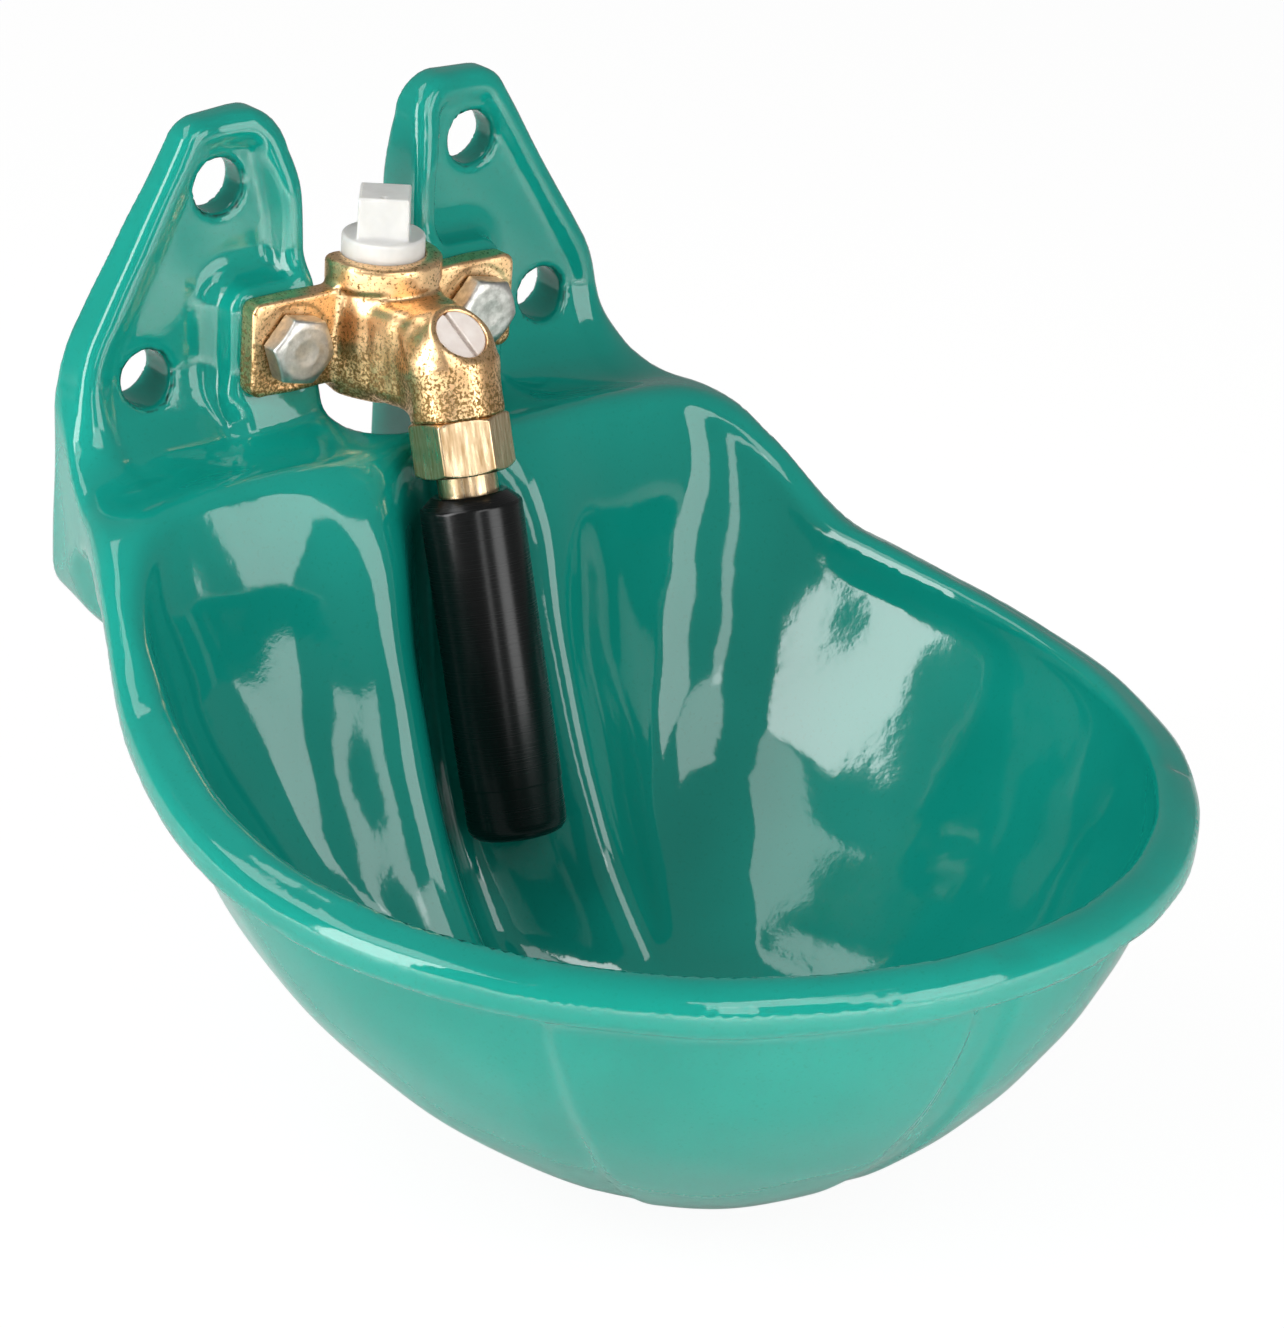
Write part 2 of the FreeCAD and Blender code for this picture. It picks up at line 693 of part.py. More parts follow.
def flange_nut(sx):
    d = V(0, 1, 0)
    start = -nut_pocket_deep + washer_thick
    p = V(sx * bolt_x, start, bolt_z)
    flat = V(0, 0, 1)
    nut = hexagon(p, d, flat, bolt_af, nut_tall)
    nut = nut.common(chamfer_cone(p, d, bolt_af / 2 / cos(pi / 6) - 0.05, nut_tall, 0.8))
    return nut.cut(cyl(p - d, d, bolt_r, 20))


def flange_washer(sx):
    p = V(sx * bolt_x, -nut_pocket_deep, bolt_z)
    return ring(p, V(0, 1, 0), washer_r, bolt_r + 0.25, washer_thick)


save("bowl", bowl())
save("valve_body", valve_body())
save("inlet_plug", inlet_plug())
save("flow_screw", flow_screw())
save("flow_screw_ring", flow_screw_ring())
save("union_nut", union_nut())
save("valve_seat", valve_seat())
save("seat_gasket", seat_gasket())
save("valve_pin", valve_pin())
save("pin_seal", pin_seal())
save("stem_tube", stem_tube())
save("nozzle_sleeve", nozzle_sleeve())
save("return_spring", return_spring())
for side, sx in (("left", -1), ("right", 1)):
    save("flange_bolt_" + side, flange_bolt(sx))
    save("flange_nut_" + side, flange_nut(sx))
    save("flange_washer_" + side, flange_washer(sx))
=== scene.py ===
# %% [markdown]
# # A cast-iron drinking bowl for livestock
# The real thing is a green enamelled iron casting that hangs on a wall. A brass valve is bolted to it,
# and a black tube reaches from the valve into the bowl: an animal pushes the tube and water runs in.
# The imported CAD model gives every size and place. This script gives each piece its finished skin, its
# material and its light.

import json
from math import atan, cos, degrees, pi, radians, sin, sqrt, tan

import bpy
import numpy as np
from mathutils import Matrix, Vector


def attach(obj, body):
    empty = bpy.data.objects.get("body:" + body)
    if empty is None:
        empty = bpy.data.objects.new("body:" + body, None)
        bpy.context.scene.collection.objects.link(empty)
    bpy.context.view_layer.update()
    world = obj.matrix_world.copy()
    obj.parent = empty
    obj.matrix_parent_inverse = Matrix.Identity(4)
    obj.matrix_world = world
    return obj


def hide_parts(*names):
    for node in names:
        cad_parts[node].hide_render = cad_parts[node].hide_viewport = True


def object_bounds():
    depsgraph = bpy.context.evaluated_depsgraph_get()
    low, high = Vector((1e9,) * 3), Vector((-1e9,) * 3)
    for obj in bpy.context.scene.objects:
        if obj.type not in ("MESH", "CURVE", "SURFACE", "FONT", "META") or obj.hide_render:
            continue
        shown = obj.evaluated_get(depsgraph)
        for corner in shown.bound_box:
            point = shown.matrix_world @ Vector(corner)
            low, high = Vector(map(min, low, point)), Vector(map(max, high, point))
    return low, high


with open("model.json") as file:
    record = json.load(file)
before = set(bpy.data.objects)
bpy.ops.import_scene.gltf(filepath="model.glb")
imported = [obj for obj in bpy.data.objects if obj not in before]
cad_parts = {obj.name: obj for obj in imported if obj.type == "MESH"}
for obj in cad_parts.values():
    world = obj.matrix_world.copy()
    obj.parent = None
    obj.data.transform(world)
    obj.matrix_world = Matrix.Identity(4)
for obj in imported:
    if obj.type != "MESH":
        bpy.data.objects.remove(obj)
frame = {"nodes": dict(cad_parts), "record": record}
nodes = frame["nodes"]
cad_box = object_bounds()
MM = 0.001
print("CAD box, mm:", [round(v / MM, 1) for c in cad_box for v in c])

# %% [markdown]
# ## The camera
# The photograph was taken from the front left and a little above, with a long lens. The camera stands
# on a line given by a turn and a rise, and it is rolled by a few degrees. The focal length is known in
# pixels of the photograph, so the lens length follows from the picture's long side.

# %% Camera
PHOTO_W, PHOTO_H = 1284, 1328
VIEW_TURN = radians(-39.489)
VIEW_RISE = radians(24.247)
VIEW_ROLL = radians(-3.496)
VIEW_FAR = 1300.0
AIM_ACROSS, AIM_UP = 78.396, -127.568
FOCAL_PIXELS = 5217.4
SENSOR = 36.0


def camera_axes(turn, rise, roll):
    back = Vector((sin(turn) * cos(rise), -cos(turn) * cos(rise), sin(rise)))
    right = (-back).cross(Vector((0, 0, 1))).normalized()
    up = right.cross(-back)
    return right * cos(roll) - up * sin(roll), right * sin(roll) + up * cos(roll), back


right, up, back = camera_axes(VIEW_TURN, VIEW_RISE, VIEW_ROLL)
place = (right * AIM_ACROSS + up * AIM_UP + back * VIEW_FAR) * MM
lens = bpy.data.cameras.new("photo_camera")
lens.lens = FOCAL_PIXELS * SENSOR / max(PHOTO_W, PHOTO_H)
lens.sensor_width = SENSOR
lens.clip_start, lens.clip_end = 0.05, 20.0
camera = bpy.data.objects.new("photo_camera", lens)
bpy.context.collection.objects.link(camera)
camera.matrix_world = Matrix.Translation(place) @ Matrix((right, up, back)).transposed().to_4x4()
bpy.context.scene.camera = camera
print("lens", round(lens.lens, 1), "mm, camera at", [round(v, 3) for v in place])

# %% [markdown]
# ## Colours and nodes
# Colours are written as they look on a screen, in hex, and turned into the linear values that Blender
# mixes with. One helper adds a node, sets its values and links its inputs.


# %% Colour and node helpers
def linear(hex_colour):
    channels = [int(hex_colour[i : i + 2], 16) / 255 for i in (1, 3, 5)]
    return tuple(c / 12.92 if c <= 0.04045 else ((c + 0.055) / 1.055) ** 2.4 for c in channels) + (1.0,)


def add(tree, kind, inputs=None, **settings):
    node = tree.nodes.new(kind)
    for name, value in settings.items():
        setattr(node, name, value)
    for name, value in (inputs or {}).items():
        socket = node.inputs[name]
        if isinstance(value, bpy.types.NodeSocket):
            tree.links.new(value, socket)
        else:
            socket.default_value = value
    return node


def start_material(name):
    material = bpy.data.materials.new(name)
    material.use_nodes = True
    tree = material.node_tree
    tree.nodes.clear()
    shader = add(tree, "ShaderNodeBsdfPrincipled")
    out = add(tree, "ShaderNodeOutputMaterial", {"Surface": shader.outputs[0]})
    place = add(tree, "ShaderNodeTexCoord").outputs["Object"]
    return material, tree, shader, place


def per_mm(length):
    # texture scale that gives one cell of a noise per length in millimetres
    return 1.0 / (length * MM)


def blend_colours(tree, factor, first, second):
    mix = add(tree, "ShaderNodeMix", {0: factor}, data_type="RGBA")
    for socket, colour in ((mix.inputs[6], first), (mix.inputs[7], second)):
        if isinstance(colour, bpy.types.NodeSocket):
            tree.links.new(colour, socket)
        else:
            socket.default_value = linear(colour)
    return mix.outputs[2]


def noise(tree, place, size, detail=3.0, rough=0.5, **more):
    values = {"Vector": place, "Scale": per_mm(size), "Detail": detail, "Roughness": rough}
    return add(tree, "ShaderNodeTexNoise", {**values, **more}).outputs["Fac"]


def spread(tree, value, low, high, to_low=0.0, to_high=1.0):
    inputs = {"Value": value, "From Min": low, "From Max": high, "To Min": to_low, "To Max": to_high}
    return add(tree, "ShaderNodeMapRange", inputs).outputs["Result"]


def bumps(tree, height, strength, depth, normal=None):
    inputs = {"Height": height, "Strength": strength, "Distance": depth * MM}
    if normal is not None:
        inputs["Normal"] = normal
    return add(tree, "ShaderNodeBump", inputs).outputs["Normal"]


# %% [markdown]
# ## Materials
# Vitreous enamel is glass melted onto iron. It is thick and smooth on open faces, and thin and dark
# where it ran off an edge. The thin places come from an attribute that the bowl's skin carries.


# %% Vitreous enamel
def vitreous_enamel():
    material, tree, shader, place = start_material("vitreous enamel, fired on cast iron")
    cloud = noise(tree, place, 45.0, 2.0)
    body = blend_colours(tree, spread(tree, cloud, 0.3, 0.7), "#0A8274", "#0F8B7D")
    speck = noise(tree, place, 0.9, 1.0)
    body = blend_colours(tree, spread(tree, speck, 0.62, 0.72, 0.0, 0.5), body, "#0A7C6D")
    thin = add(tree, "ShaderNodeAttribute", attribute_name="thin_enamel").outputs["Fac"]
    ragged = add(tree, "ShaderNodeMath", {0: thin, 1: noise(tree, place, 2.5, 3.0)}, operation="MULTIPLY")
    body = blend_colours(tree, spread(tree, ragged.outputs[0], 0.25, 0.6), body, "#12352C")
    tree.links.new(body, shader.inputs["Base Color"])
    shader.inputs["Roughness"].default_value = 0.07
    shader.inputs["IOR"].default_value = 1.52
    waves = bumps(tree, noise(tree, place, 11.0, 2.0), 0.25, 0.26)
    peel = bumps(tree, noise(tree, place, 1.9, 2.0), 0.3, 0.05, waves)
    tree.links.new(peel, shader.inputs["Normal"])
    return material


# %% [markdown]
# The valve body is brass poured into sand. Its skin keeps the sand's grain: warm gold on the high
# places and dark greenish dirt in the pits.


# %% Cast brass
def sand_cast_brass():
    material, tree, shader, place = start_material("brass, sand cast and tumbled")
    grain = noise(tree, place, 0.75, 3.0, 0.6)
    patch = noise(tree, place, 9.0, 3.0)
    height = add(tree, "ShaderNodeSeparateXYZ", {0: place}).outputs["Z"]
    lower = spread(tree, height, -0.030, -0.044, 0.0, 0.12)
    gold = blend_colours(tree, spread(tree, patch, 0.35, 0.65), "#FAD2A0", "#E8BB88")
    level = add(tree, "ShaderNodeMath", {0: grain, 1: lower}, operation="ADD").outputs[0]
    pits = spread(tree, level, 0.54, 0.66)
    colour = blend_colours(tree, pits, gold, "#86693F")
    tree.links.new(colour, shader.inputs["Base Color"])
    shader.inputs["Metallic"].default_value = 1.0
    rough = spread(tree, pits, 0.0, 1.0, 0.30, 0.6)
    tree.links.new(rough, shader.inputs["Roughness"])
    waves = bumps(tree, noise(tree, place, 3.5, 2.0), 0.35, 0.4)
    tree.links.new(bumps(tree, level, 0.35, -0.12, waves), shader.inputs["Normal"])
    return material


# %% [markdown]
# The nut and the tube are turned from drawn bar. The drawing leaves soft streaks along the axis, which
# roughen and ripple the surface, and the lathe tool leaves very fine rings around it. Pale and brown stripes
# painted along the streaks are painted reflections that break the highlights up.


# %% Drawn and turned brass
def tool_lines(tree, spacing, strength, depth):
    # rings cut by a tool: they run round the piece, so they change only along its axis
    along = add(tree, "ShaderNodeAttribute", attribute_name="along_mm").outputs["Fac"]
    scaled = add(tree, "ShaderNodeMath", {0: along, 1: 1.0 / spacing}, operation="MULTIPLY").outputs[0]
    lines = add(tree, "ShaderNodeTexNoise", {"W": scaled, "Scale": 1.0, "Detail": 3.0}, noise_dimensions="1D")
    return lines.outputs["Fac"], bumps(tree, lines.outputs["Fac"], strength, depth)


def turned_brass():
    material, tree, shader, place = start_material("brass, drawn bar, turned")
    upright = add(tree, "ShaderNodeMapping", {"Vector": place, "Rotation": (radians(18.0), 0, 0)})
    streak = add(tree, "ShaderNodeMapping", {"Vector": upright.outputs[0], "Scale": (1, 1, 0.12)}).outputs[0]
    drawn_streak_and_sheen = noise(tree, streak, 1.1, 4.0, 0.6)
    # pale and brown stripes along the drawing streaks: painted reflection; the same streaks also set the
    # roughness and bumps
    colour = blend_colours(tree, spread(tree, drawn_streak_and_sheen, 0.35, 0.65), "#E6CDA9", "#B8976D")
    tree.links.new(colour, shader.inputs["Base Color"])
    shader.inputs["Metallic"].default_value = 1.0
    lines, normal = tool_lines(tree, 0.35, 0.25, 0.02)
    tree.links.new(spread(tree, drawn_streak_and_sheen, 0.3, 0.7, 0.22, 0.38), shader.inputs["Roughness"])
    tree.links.new(bumps(tree, drawn_streak_and_sheen, 0.3, 0.05, normal), shader.inputs["Normal"])
    return material


# %% [markdown]
# Zinc plating on steel is cloudy and dull, brighter in patches.


# %% Zinc-plated steel
def zinc_plate():
    material, tree, shader, place = start_material("steel, zinc plated and dull")
    cloud = noise(tree, place, 2.2, 4.0, 0.6)
    colour = blend_colours(tree, spread(tree, cloud, 0.35, 0.65), "#D2D0CB", "#A9A7A1")
    tree.links.new(colour, shader.inputs["Base Color"])
    shader.inputs["Metallic"].default_value = 1.0
    tree.links.new(spread(tree, cloud, 0.3, 0.7, 0.28, 0.48), shader.inputs["Roughness"])
    tree.links.new(bumps(tree, noise(tree, place, 0.8, 3.0), 0.3, 0.12), shader.inputs["Normal"])
    return material


# %% [markdown]
# The plastics: milky nylon that lets some light in, black polyamide with the tool's rings and a dark,
# calm shine, and a white plastic for the small turned parts. Rubber is matt.


# %% Nylon, rubber, hard plastics
def natural_nylon():
    material, tree, shader, place = start_material("nylon, natural, moulded")
    cloud = noise(tree, place, 5.0, 2.0)
    colour = blend_colours(tree, spread(tree, cloud, 0.3, 0.7), "#CECDCA", "#C3C2BF")
    tree.links.new(colour, shader.inputs["Base Color"])
    shader.inputs["Roughness"].default_value = 0.38
    shader.inputs["Subsurface Weight"].default_value = 0.35
    shader.inputs["Subsurface Radius"].default_value = (0.0030, 0.0027, 0.0022)
    shader.inputs["Subsurface Scale"].default_value = 1.0
    return material


def turned_black_plastic():
    material, tree, shader, place = start_material("black polyamide, turned on a lathe")
    dust = noise(tree, place, 1.6, 4.0)
    colour = blend_colours(tree, spread(tree, dust, 0.62, 0.85), "#060707", "#141615")
    tree.links.new(colour, shader.inputs["Base Color"])
    lines, normal = tool_lines(tree, 0.30, 0.3, 0.02)
    tree.links.new(spread(tree, lines, 0.25, 0.75, 0.18, 0.30), shader.inputs["Roughness"])
    shader.inputs["Specular IOR Level"].default_value = 0.35
    tree.links.new(normal, shader.inputs["Normal"])
    return material


def black_rubber():
    material, tree, shader, place = start_material("nitrile rubber, moulded")
    shader.inputs["Base Color"].default_value = linear("#141414")
    shader.inputs["Roughness"].default_value = 0.6
    return material


def white_plastic():
    material, tree, shader, place = start_material("acetal, turned, white")
    cloud = noise(tree, place, 3.0, 2.0)
    colour = blend_colours(tree, spread(tree, cloud, 0.3, 0.7), "#DFD6CF", "#D4C8C0")
    tree.links.new(colour, shader.inputs["Base Color"])
    shader.inputs["Roughness"].default_value = 0.4
    return material


# %% [markdown]
# The record gives every node a slot, and each slot has its material here. The nodes that stay as CAD made
# them wear it too.

# %% One material for each slot
finish = {
    "green_enamel": vitreous_enamel(),
    "cast_brass": sand_cast_brass(),
    "turned_brass": turned_brass(),
    "zinc_steel": zinc_plate(),
    "screw_plastic": white_plastic(),
    "nylon": natural_nylon(),
    "black_plastic": turned_black_plastic(),
    "black_rubber": black_rubber(),
    "seat_plastic": white_plastic(),
    "pin_steel": zinc_plate(),
}
slot_of = {entry["node"]: entry["material_slot"] for entry in frame["record"]["subparts"]}
for name, node in nodes.items():
    node.data.materials.clear()
    node.data.materials.append(finish[slot_of[name]])
print("materials", sorted(m.name for m in finish.values()))

# %% [markdown]
# ## Skins from distances
# A casting has no sharp inner corners: every wall runs into the next through a soft curve. That is hard
# to model with faces, and easy with distances. For each simple form there is a function that says how
# far a point is outside it (below zero is inside). Two forms are joined, or one is cut from another,
# with a rounded meeting of a given radius, and the skin is where the result is zero.


# %% Joining distances
def joined(a, b, radius):
    near = np.hypot(np.maximum(radius - a, 0), np.maximum(radius - b, 0))
    return np.maximum(radius, np.minimum(a, b)) - near


def within(a, b, radius):
    near = np.hypot(np.maximum(radius + a, 0), np.maximum(radius + b, 0))
    return np.minimum(-radius, np.maximum(a, b)) + near


def cut(a, tool, radius):
    return within(a, -tool, radius)


def as_distance(raw, x, y, z, step=0.4):
    # turns any smooth function into a distance near its zero, by its own slope
    here = raw(x, y, z)
    slope = (raw(x + step, y, z) - here) ** 2
    slope += (raw(x, y + step, z) - here) ** 2
    slope += (raw(x, y, z + step) - here) ** 2
    return here / np.maximum(np.sqrt(slope) / step, 1e-4)


def outline_distance(points, u, v):
    # distance to a closed outline in a plane, below zero inside
    near = np.full(np.shape(u), 1e9)
    inside = np.zeros(np.shape(u), bool)
    for (u0, v0), (u1, v1) in zip(points, points[1:] + points[:1]):
        du, dv = u1 - u0, v1 - v0
        if abs(du) + abs(dv) < 1e-9:
            continue
        along = np.clip(((u - u0) * du + (v - v0) * dv) / (du * du + dv * dv), 0, 1)
        near = np.minimum(near, (u - u0 - along * du) ** 2 + (v - v0 - along * dv) ** 2)
        if abs(dv) > 1e-9:
            crosses = ((v0 > v) != (v1 > v)) & (u < u0 + (v - v0) * du / dv)
            inside ^= crosses
    return np.where(inside, -1.0, 1.0) * np.sqrt(near)


def along_line(x, y, z, start, direction):
    # how far along a line a point lies, and how far off it
    px, py, pz = x - start[0], y - start[1], z - start[2]
    far = px * direction[0] + py * direction[1] + pz * direction[2]
    off = np.sqrt(np.maximum(px * px + py * py + pz * pz - far * far, 0))
    return far, off


def rod(x, y, z, start, direction, radius, low, high, rounding):
    far, off = along_line(x, y, z, start, direction)
    ends = np.maximum(low - far, far - high)
    return within(off - radius, ends, rounding)


# %% [markdown]
# ### From a distance to a mesh
# The space is cut into small cells. Each cell that the skin passes through gets one point, and each grid
# edge that pierces the skin gets one face between its four cells. The points are then evened out and
# drawn onto the exact skin a few times, which gives clean reflections.


# %% Skin maker
def crossed_cells(values):
    inside = values < 0
    count = np.zeros(tuple(n - 1 for n in values.shape), np.int8)
    for i in (0, 1):
        for j in (0, 1):
            for k in (0, 1):
                part = inside[i : i + count.shape[0], j : j + count.shape[1], k : k + count.shape[2]]
                count += part
    active = (count > 0) & (count < 8)
    index = np.full(count.shape, -1, np.int64)
    index[active] = np.arange(active.sum())
    return inside, index, int(active.sum())


def net(field, axes):
    grid = np.meshgrid(*axes, indexing="ij")
    values = field(*grid)
    inside, index, total = crossed_cells(values)
    sums = np.zeros((total, 3))
    hits = np.zeros(total)
    faces = []
    for axis in range(3):
        low = [slice(None)] * 3
        high = [slice(None)] * 3
        low[axis], high[axis] = slice(None, -1), slice(1, None)
        a, b = values[tuple(low)], values[tuple(high)]
        where = np.argwhere(inside[tuple(low)] != inside[tuple(high)])
        va, vb = a[tuple(where.T)], b[tuple(where.T)]
        share = va / (va - vb)
        points = np.stack([axes[n][where[:, n]] for n in range(3)], 1).astype(float)
        points[:, axis] += share * (axes[axis][where[:, axis] + 1] - axes[axis][where[:, axis]])
        one, two = (axis + 1) % 3, (axis + 2) % 3
        corner = []
        for s, t in ((-1, -1), (0, -1), (0, 0), (-1, 0)):
            cell = where.copy()
            cell[:, one] += s
            cell[:, two] += t
            ok = np.all((cell >= 0) & (cell < np.array(index.shape)), axis=1)
            found = np.full(len(cell), -1)
            found[ok] = index[tuple(cell[ok].T)]
            good = found >= 0
            for n in range(3):
                sums[:, n] += np.bincount(found[good], points[good, n], total)
            hits += np.bincount(found[good], minlength=total)
            corner.append(found)
        quad = np.stack(corner, 1)
        quad[va >= 0] = quad[va >= 0][:, ::-1]
        faces.append(quad[(quad >= 0).all(1)])
    return sums / np.maximum(hits, 1)[:, None], np.concatenate(faces)


def slope_at(field, points, step):
    x, y, z = points.T
    out = []
    for dx, dy, dz in ((step, 0, 0), (0, step, 0), (0, 0, step)):
        out.append(field(x + dx, y + dy, z + dz) - field(x - dx, y - dy, z - dz))
    return np.stack(out, 1) / (2 * step)


def settle(field, points, faces, cell, rounds):
    edges = np.concatenate([faces[:, [i, (i + 1) % 4]] for i in range(4)])
    total = len(points)
    links = np.bincount(edges.ravel(), minlength=total)
    for turn in range(rounds):
        if turn < rounds - 1:
            middle = np.zeros_like(points)
            for n in range(3):
                middle[:, n] = np.bincount(edges[:, 0], points[edges[:, 1], n], total)
                middle[:, n] += np.bincount(edges[:, 1], points[edges[:, 0], n], total)
            points = points + 0.5 * (middle / links[:, None] - points)
        for _ in range(2):
            slope = slope_at(field, points, cell * 0.15)
            size = np.maximum((slope**2).sum(1), 0.05)
            move = -field(*points.T)[:, None] * slope / size[:, None]
            long = np.maximum(np.sqrt((move**2).sum(1)) / (0.5 * cell), 1)
            points = points + move / long[:, None]
    return points


def skin_object(name, field, axes, material, rounds=4):
    cell = float(np.median(np.diff(axes[0])))
    points, faces = net(field, axes)
    points = settle(field, points, faces, cell, rounds)
    mesh = bpy.data.meshes.new(name)
    mesh.from_pydata([tuple(p) for p in points * MM], [], faces.tolist())
    mesh.polygons.foreach_set("use_smooth", [True] * len(mesh.polygons))
    mesh.materials.append(material)
    mesh.update()
    piece = bpy.data.objects.new(name, mesh)
    bpy.context.collection.objects.link(piece)
    print(name, "points", len(points), "faces", len(faces))
    return piece, points


# %% [markdown]
# ## The bowl
# All sizes are millimetres, from the wall (Y = 0) and from the upper wall holes (Z = 0). The plan is an
# oval that runs back to the wall, the rim rises towards the wall in a soft S, and below the rim the oval
# shrinks to a small flat foot.

# %% Bowl sizes
EAR_THICK, EAR_LEAN, EAR_TOP, EAR_SIDE, EAR_INNER = 10.0, 0.075, 18.0, 79.0, 17.0
HOLE_R, HOLE_TOP_X, HOLE_LOW_X, HOLE_LOW_Z = 7.0, 38.2, 60.4, -44.7
PAD_FACE = -21.0
PIPE_R, PIPE_Y = 16.0, -25.0
PLAN_Y, RIM_Z = -147.0, -105.0
RIM_HALF, RIM_FRONT, RIM_SIDE_WIDE, RIM_FRONT_WIDE = 125.8, 128.2, 11.8, 10.2
RIM_TALL, RIM_OVER = 10.0, 7.0
FRONT_MORE, SIDE_MORE = 2.6, 2.4
FLANK_POWER = 1.23
TAIL_RISE, TAIL_REACH, STEP_RISE, CROWN = 25.0, 97.5, 14.2, 9.5
DEEP, FLOOR = 104.0, 9.0
IN_DEEP = DEEP - FLOOR - 1.0
HOLLOW_TOP, BACK_LOW = -62.0, -150.0
SIDE_P, SIDE_N, FRONT_P, FRONT_N = 1.55, 1.75, 1.35, 1.9
FRONT_SHIFT = 16.0
LOW_CUT = RIM_Z - DEEP + 4.0
RIDGE_X = 25.0
BOLT_X, BOLT_Z = 27.9, -37.2
BAND_TURN = radians(54.0)


def soft_step(value, start, end):
    f = np.clip((value - start) / (end - start), 0, 1)
    return f * f * (3 - 2 * f)


def rim_line(y):
    tail = TAIL_RISE * np.exp(-((np.minimum(y, 0) / TAIL_REACH) ** 2))
    return RIM_Z + tail + STEP_RISE * (1 - soft_step(-y, 50.0, 88.0))


def top_height(x, y):
    across = np.maximum(0, 1 - (x / 99.0) ** 6)
    width = 17.0 + 13.0 * np.exp(-((x / 32.0) ** 2))
    return rim_line(y) + CROWN * across * np.exp(-(((y + 51.0) / width) ** 2))


def shrink(t, p, n):
    # how much of the rim's width is left at a share t of the depth
    return np.maximum(0, 1 - t**p) ** (1 / n)


def flank(u):
    # how the side runs in from the widest place to the wall
    return np.sin(pi / 2 * np.maximum(0, 1 - u) ** FLANK_POWER)


def skirt(z):
    # half the width where the bowl meets the wall: as wide as the ears, then in at a slope
    return np.maximum(24.0, EAR_SIDE - 0.61 * 4.0 * np.log1p(np.exp(np.clip((-78.0 - z) / 4.0, -40, 40))))


def back_line(z, yc):
    # how far back the outside reaches at a height: to the wall, then forward to the foot
    k = np.clip((BACK_LOW - z) / (BACK_LOW - RIM_Z + DEEP), 0, 1)
    return 3.0 + (yc + 3.0) * (1 - np.sqrt(np.maximum(0, 1 - k**1.6)))


def raised_field(across, ahead):
    # a panel stands proud left and right; sunk bands run down the middle and beside each panel
    middle = 1 - soft_step(across, 3.0, 7.8)
    off = across * cos(BAND_TURN) - ahead * sin(BAND_TURN)
    past = soft_step(off, -7.4, -2.8)
    return -1.6 * middle - past * (2.3 - 0.4 * soft_step(off, 3.0, 8.0))


def side_form(half_w, reach, z0, low, wall_w=None, lifted=False):
    # the oval plan that shrinks downwards; wall_w keeps the plan the same at every height
    def raw(x, y, z):
        t = np.clip((z0 - z) / low, 0, 0.995)
        s, sf = shrink(t, SIDE_P, SIDE_N), shrink(t, FRONT_P, FRONT_N)
        yc = PLAN_Y - FRONT_SHIFT * t
        lift = 0.0
        if lifted:
            lift = raised_field(np.abs(x), yc - y) * np.minimum(1, s * 1.6)
            lift = np.where(y < yc, lift, -1.9 * np.minimum(1, s * 1.6))
        a, b = half_w * s + lift, reach * sf + lift
        front = np.hypot(x / a, (y - yc) / b) - 1
        wide = np.minimum(skirt(z) if wall_w is None else wall_w, a * 0.92)
        end = back_line(z, yc)
        u = np.clip((y - yc) / (end - yc), 0, 1)
        behind = (np.abs(x) - wide - (a - wide) * flank(u)) / a
        return np.where(y < yc, front, behind)

    return raw


# %% [markdown]
# The hollow is an oval too, but its back is shaped: a channel in the middle takes the tube, a soft ridge
# stands on each side of it, and outside each ridge the wall falls back into a lobe.


# %% Hollow
def hollow_back(x, z):
    # where the hollow's back stands (Y) at a place across and a height; d is the depth below the shoulder
    d = np.maximum(0, HOLLOW_TOP - z)
    ridge = -60.0 - 0.28 * d - 1.19e-7 * d**4
    lobe = ridge + 3.0 + 10.0 * (1 - np.exp(-d / 25.0))
    roll = 6.0 * np.clip((z + 88.0) / 24.0, 0, 1.1) ** 2
    channel = -46.5 - 0.085 * d - 26.0 * (d / 120.0) ** 4
    a = np.abs(x)
    mid = 0.5 + 0.5 * np.cos(pi * np.minimum(1, a / RIDGE_X))
    inner = ridge + (channel - ridge) * mid + roll * (1 - mid)
    outer = lobe + (ridge - lobe) * np.exp(-(((a - RIDGE_X) / 17.0) ** 2)) + roll
    return np.where(a < RIDGE_X, inner, outer)


def hollow_oval(x, y, z):
    # an oval in front; behind the widest place it follows the outside, one wall further in
    t = np.clip((RIM_Z - 1.0 - z) / IN_DEEP, 0, 0.995)
    yc = PLAN_Y - FRONT_SHIFT * t
    a_in = (RIM_HALF - RIM_SIDE_WIDE) * shrink(t, SIDE_P, SIDE_N)
    thicker = soft_step(rim_line(y) - z, 0.0, 30.0)
    b_in = (RIM_FRONT - RIM_FRONT_WIDE) * shrink(t, FRONT_P, FRONT_N) - FRONT_MORE * thicker
    front = np.hypot(x / np.maximum(a_in - SIDE_MORE * thicker, 1), (y - yc) / np.maximum(b_in, 1)) - 1
    t_out = np.clip((RIM_Z - 5.0 - z) / (DEEP - 5.0), 0, 0.995)
    a_out = (RIM_HALF - RIM_OVER) * shrink(t_out, SIDE_P, SIDE_N)
    wide = np.minimum(skirt(z), a_out * 0.92)
    u = np.clip((y - yc) / (back_line(z, yc) - yc), 0, 1)
    behind = (np.abs(x) + SIDE_MORE * thicker + a_out - a_in - wide - (a_out - wide) * flank(u)) / a_in
    return np.where(y < yc, front, behind)


def hollow_form(x, y, z):
    oval = as_distance(hollow_oval, x, y, z)
    wall = as_distance(lambda px, py, pz: py - hollow_back(px, pz), x, y, z)
    hollow = within(oval, wall, 15.0)
    return within(hollow, RIM_Z - IN_DEEP + 4.0 - z, 14.0)


# %% [markdown]
# The wall side: an ear left and right with its rib and its pad, drawn once and mirrored by taking the
# distance from the middle plane.


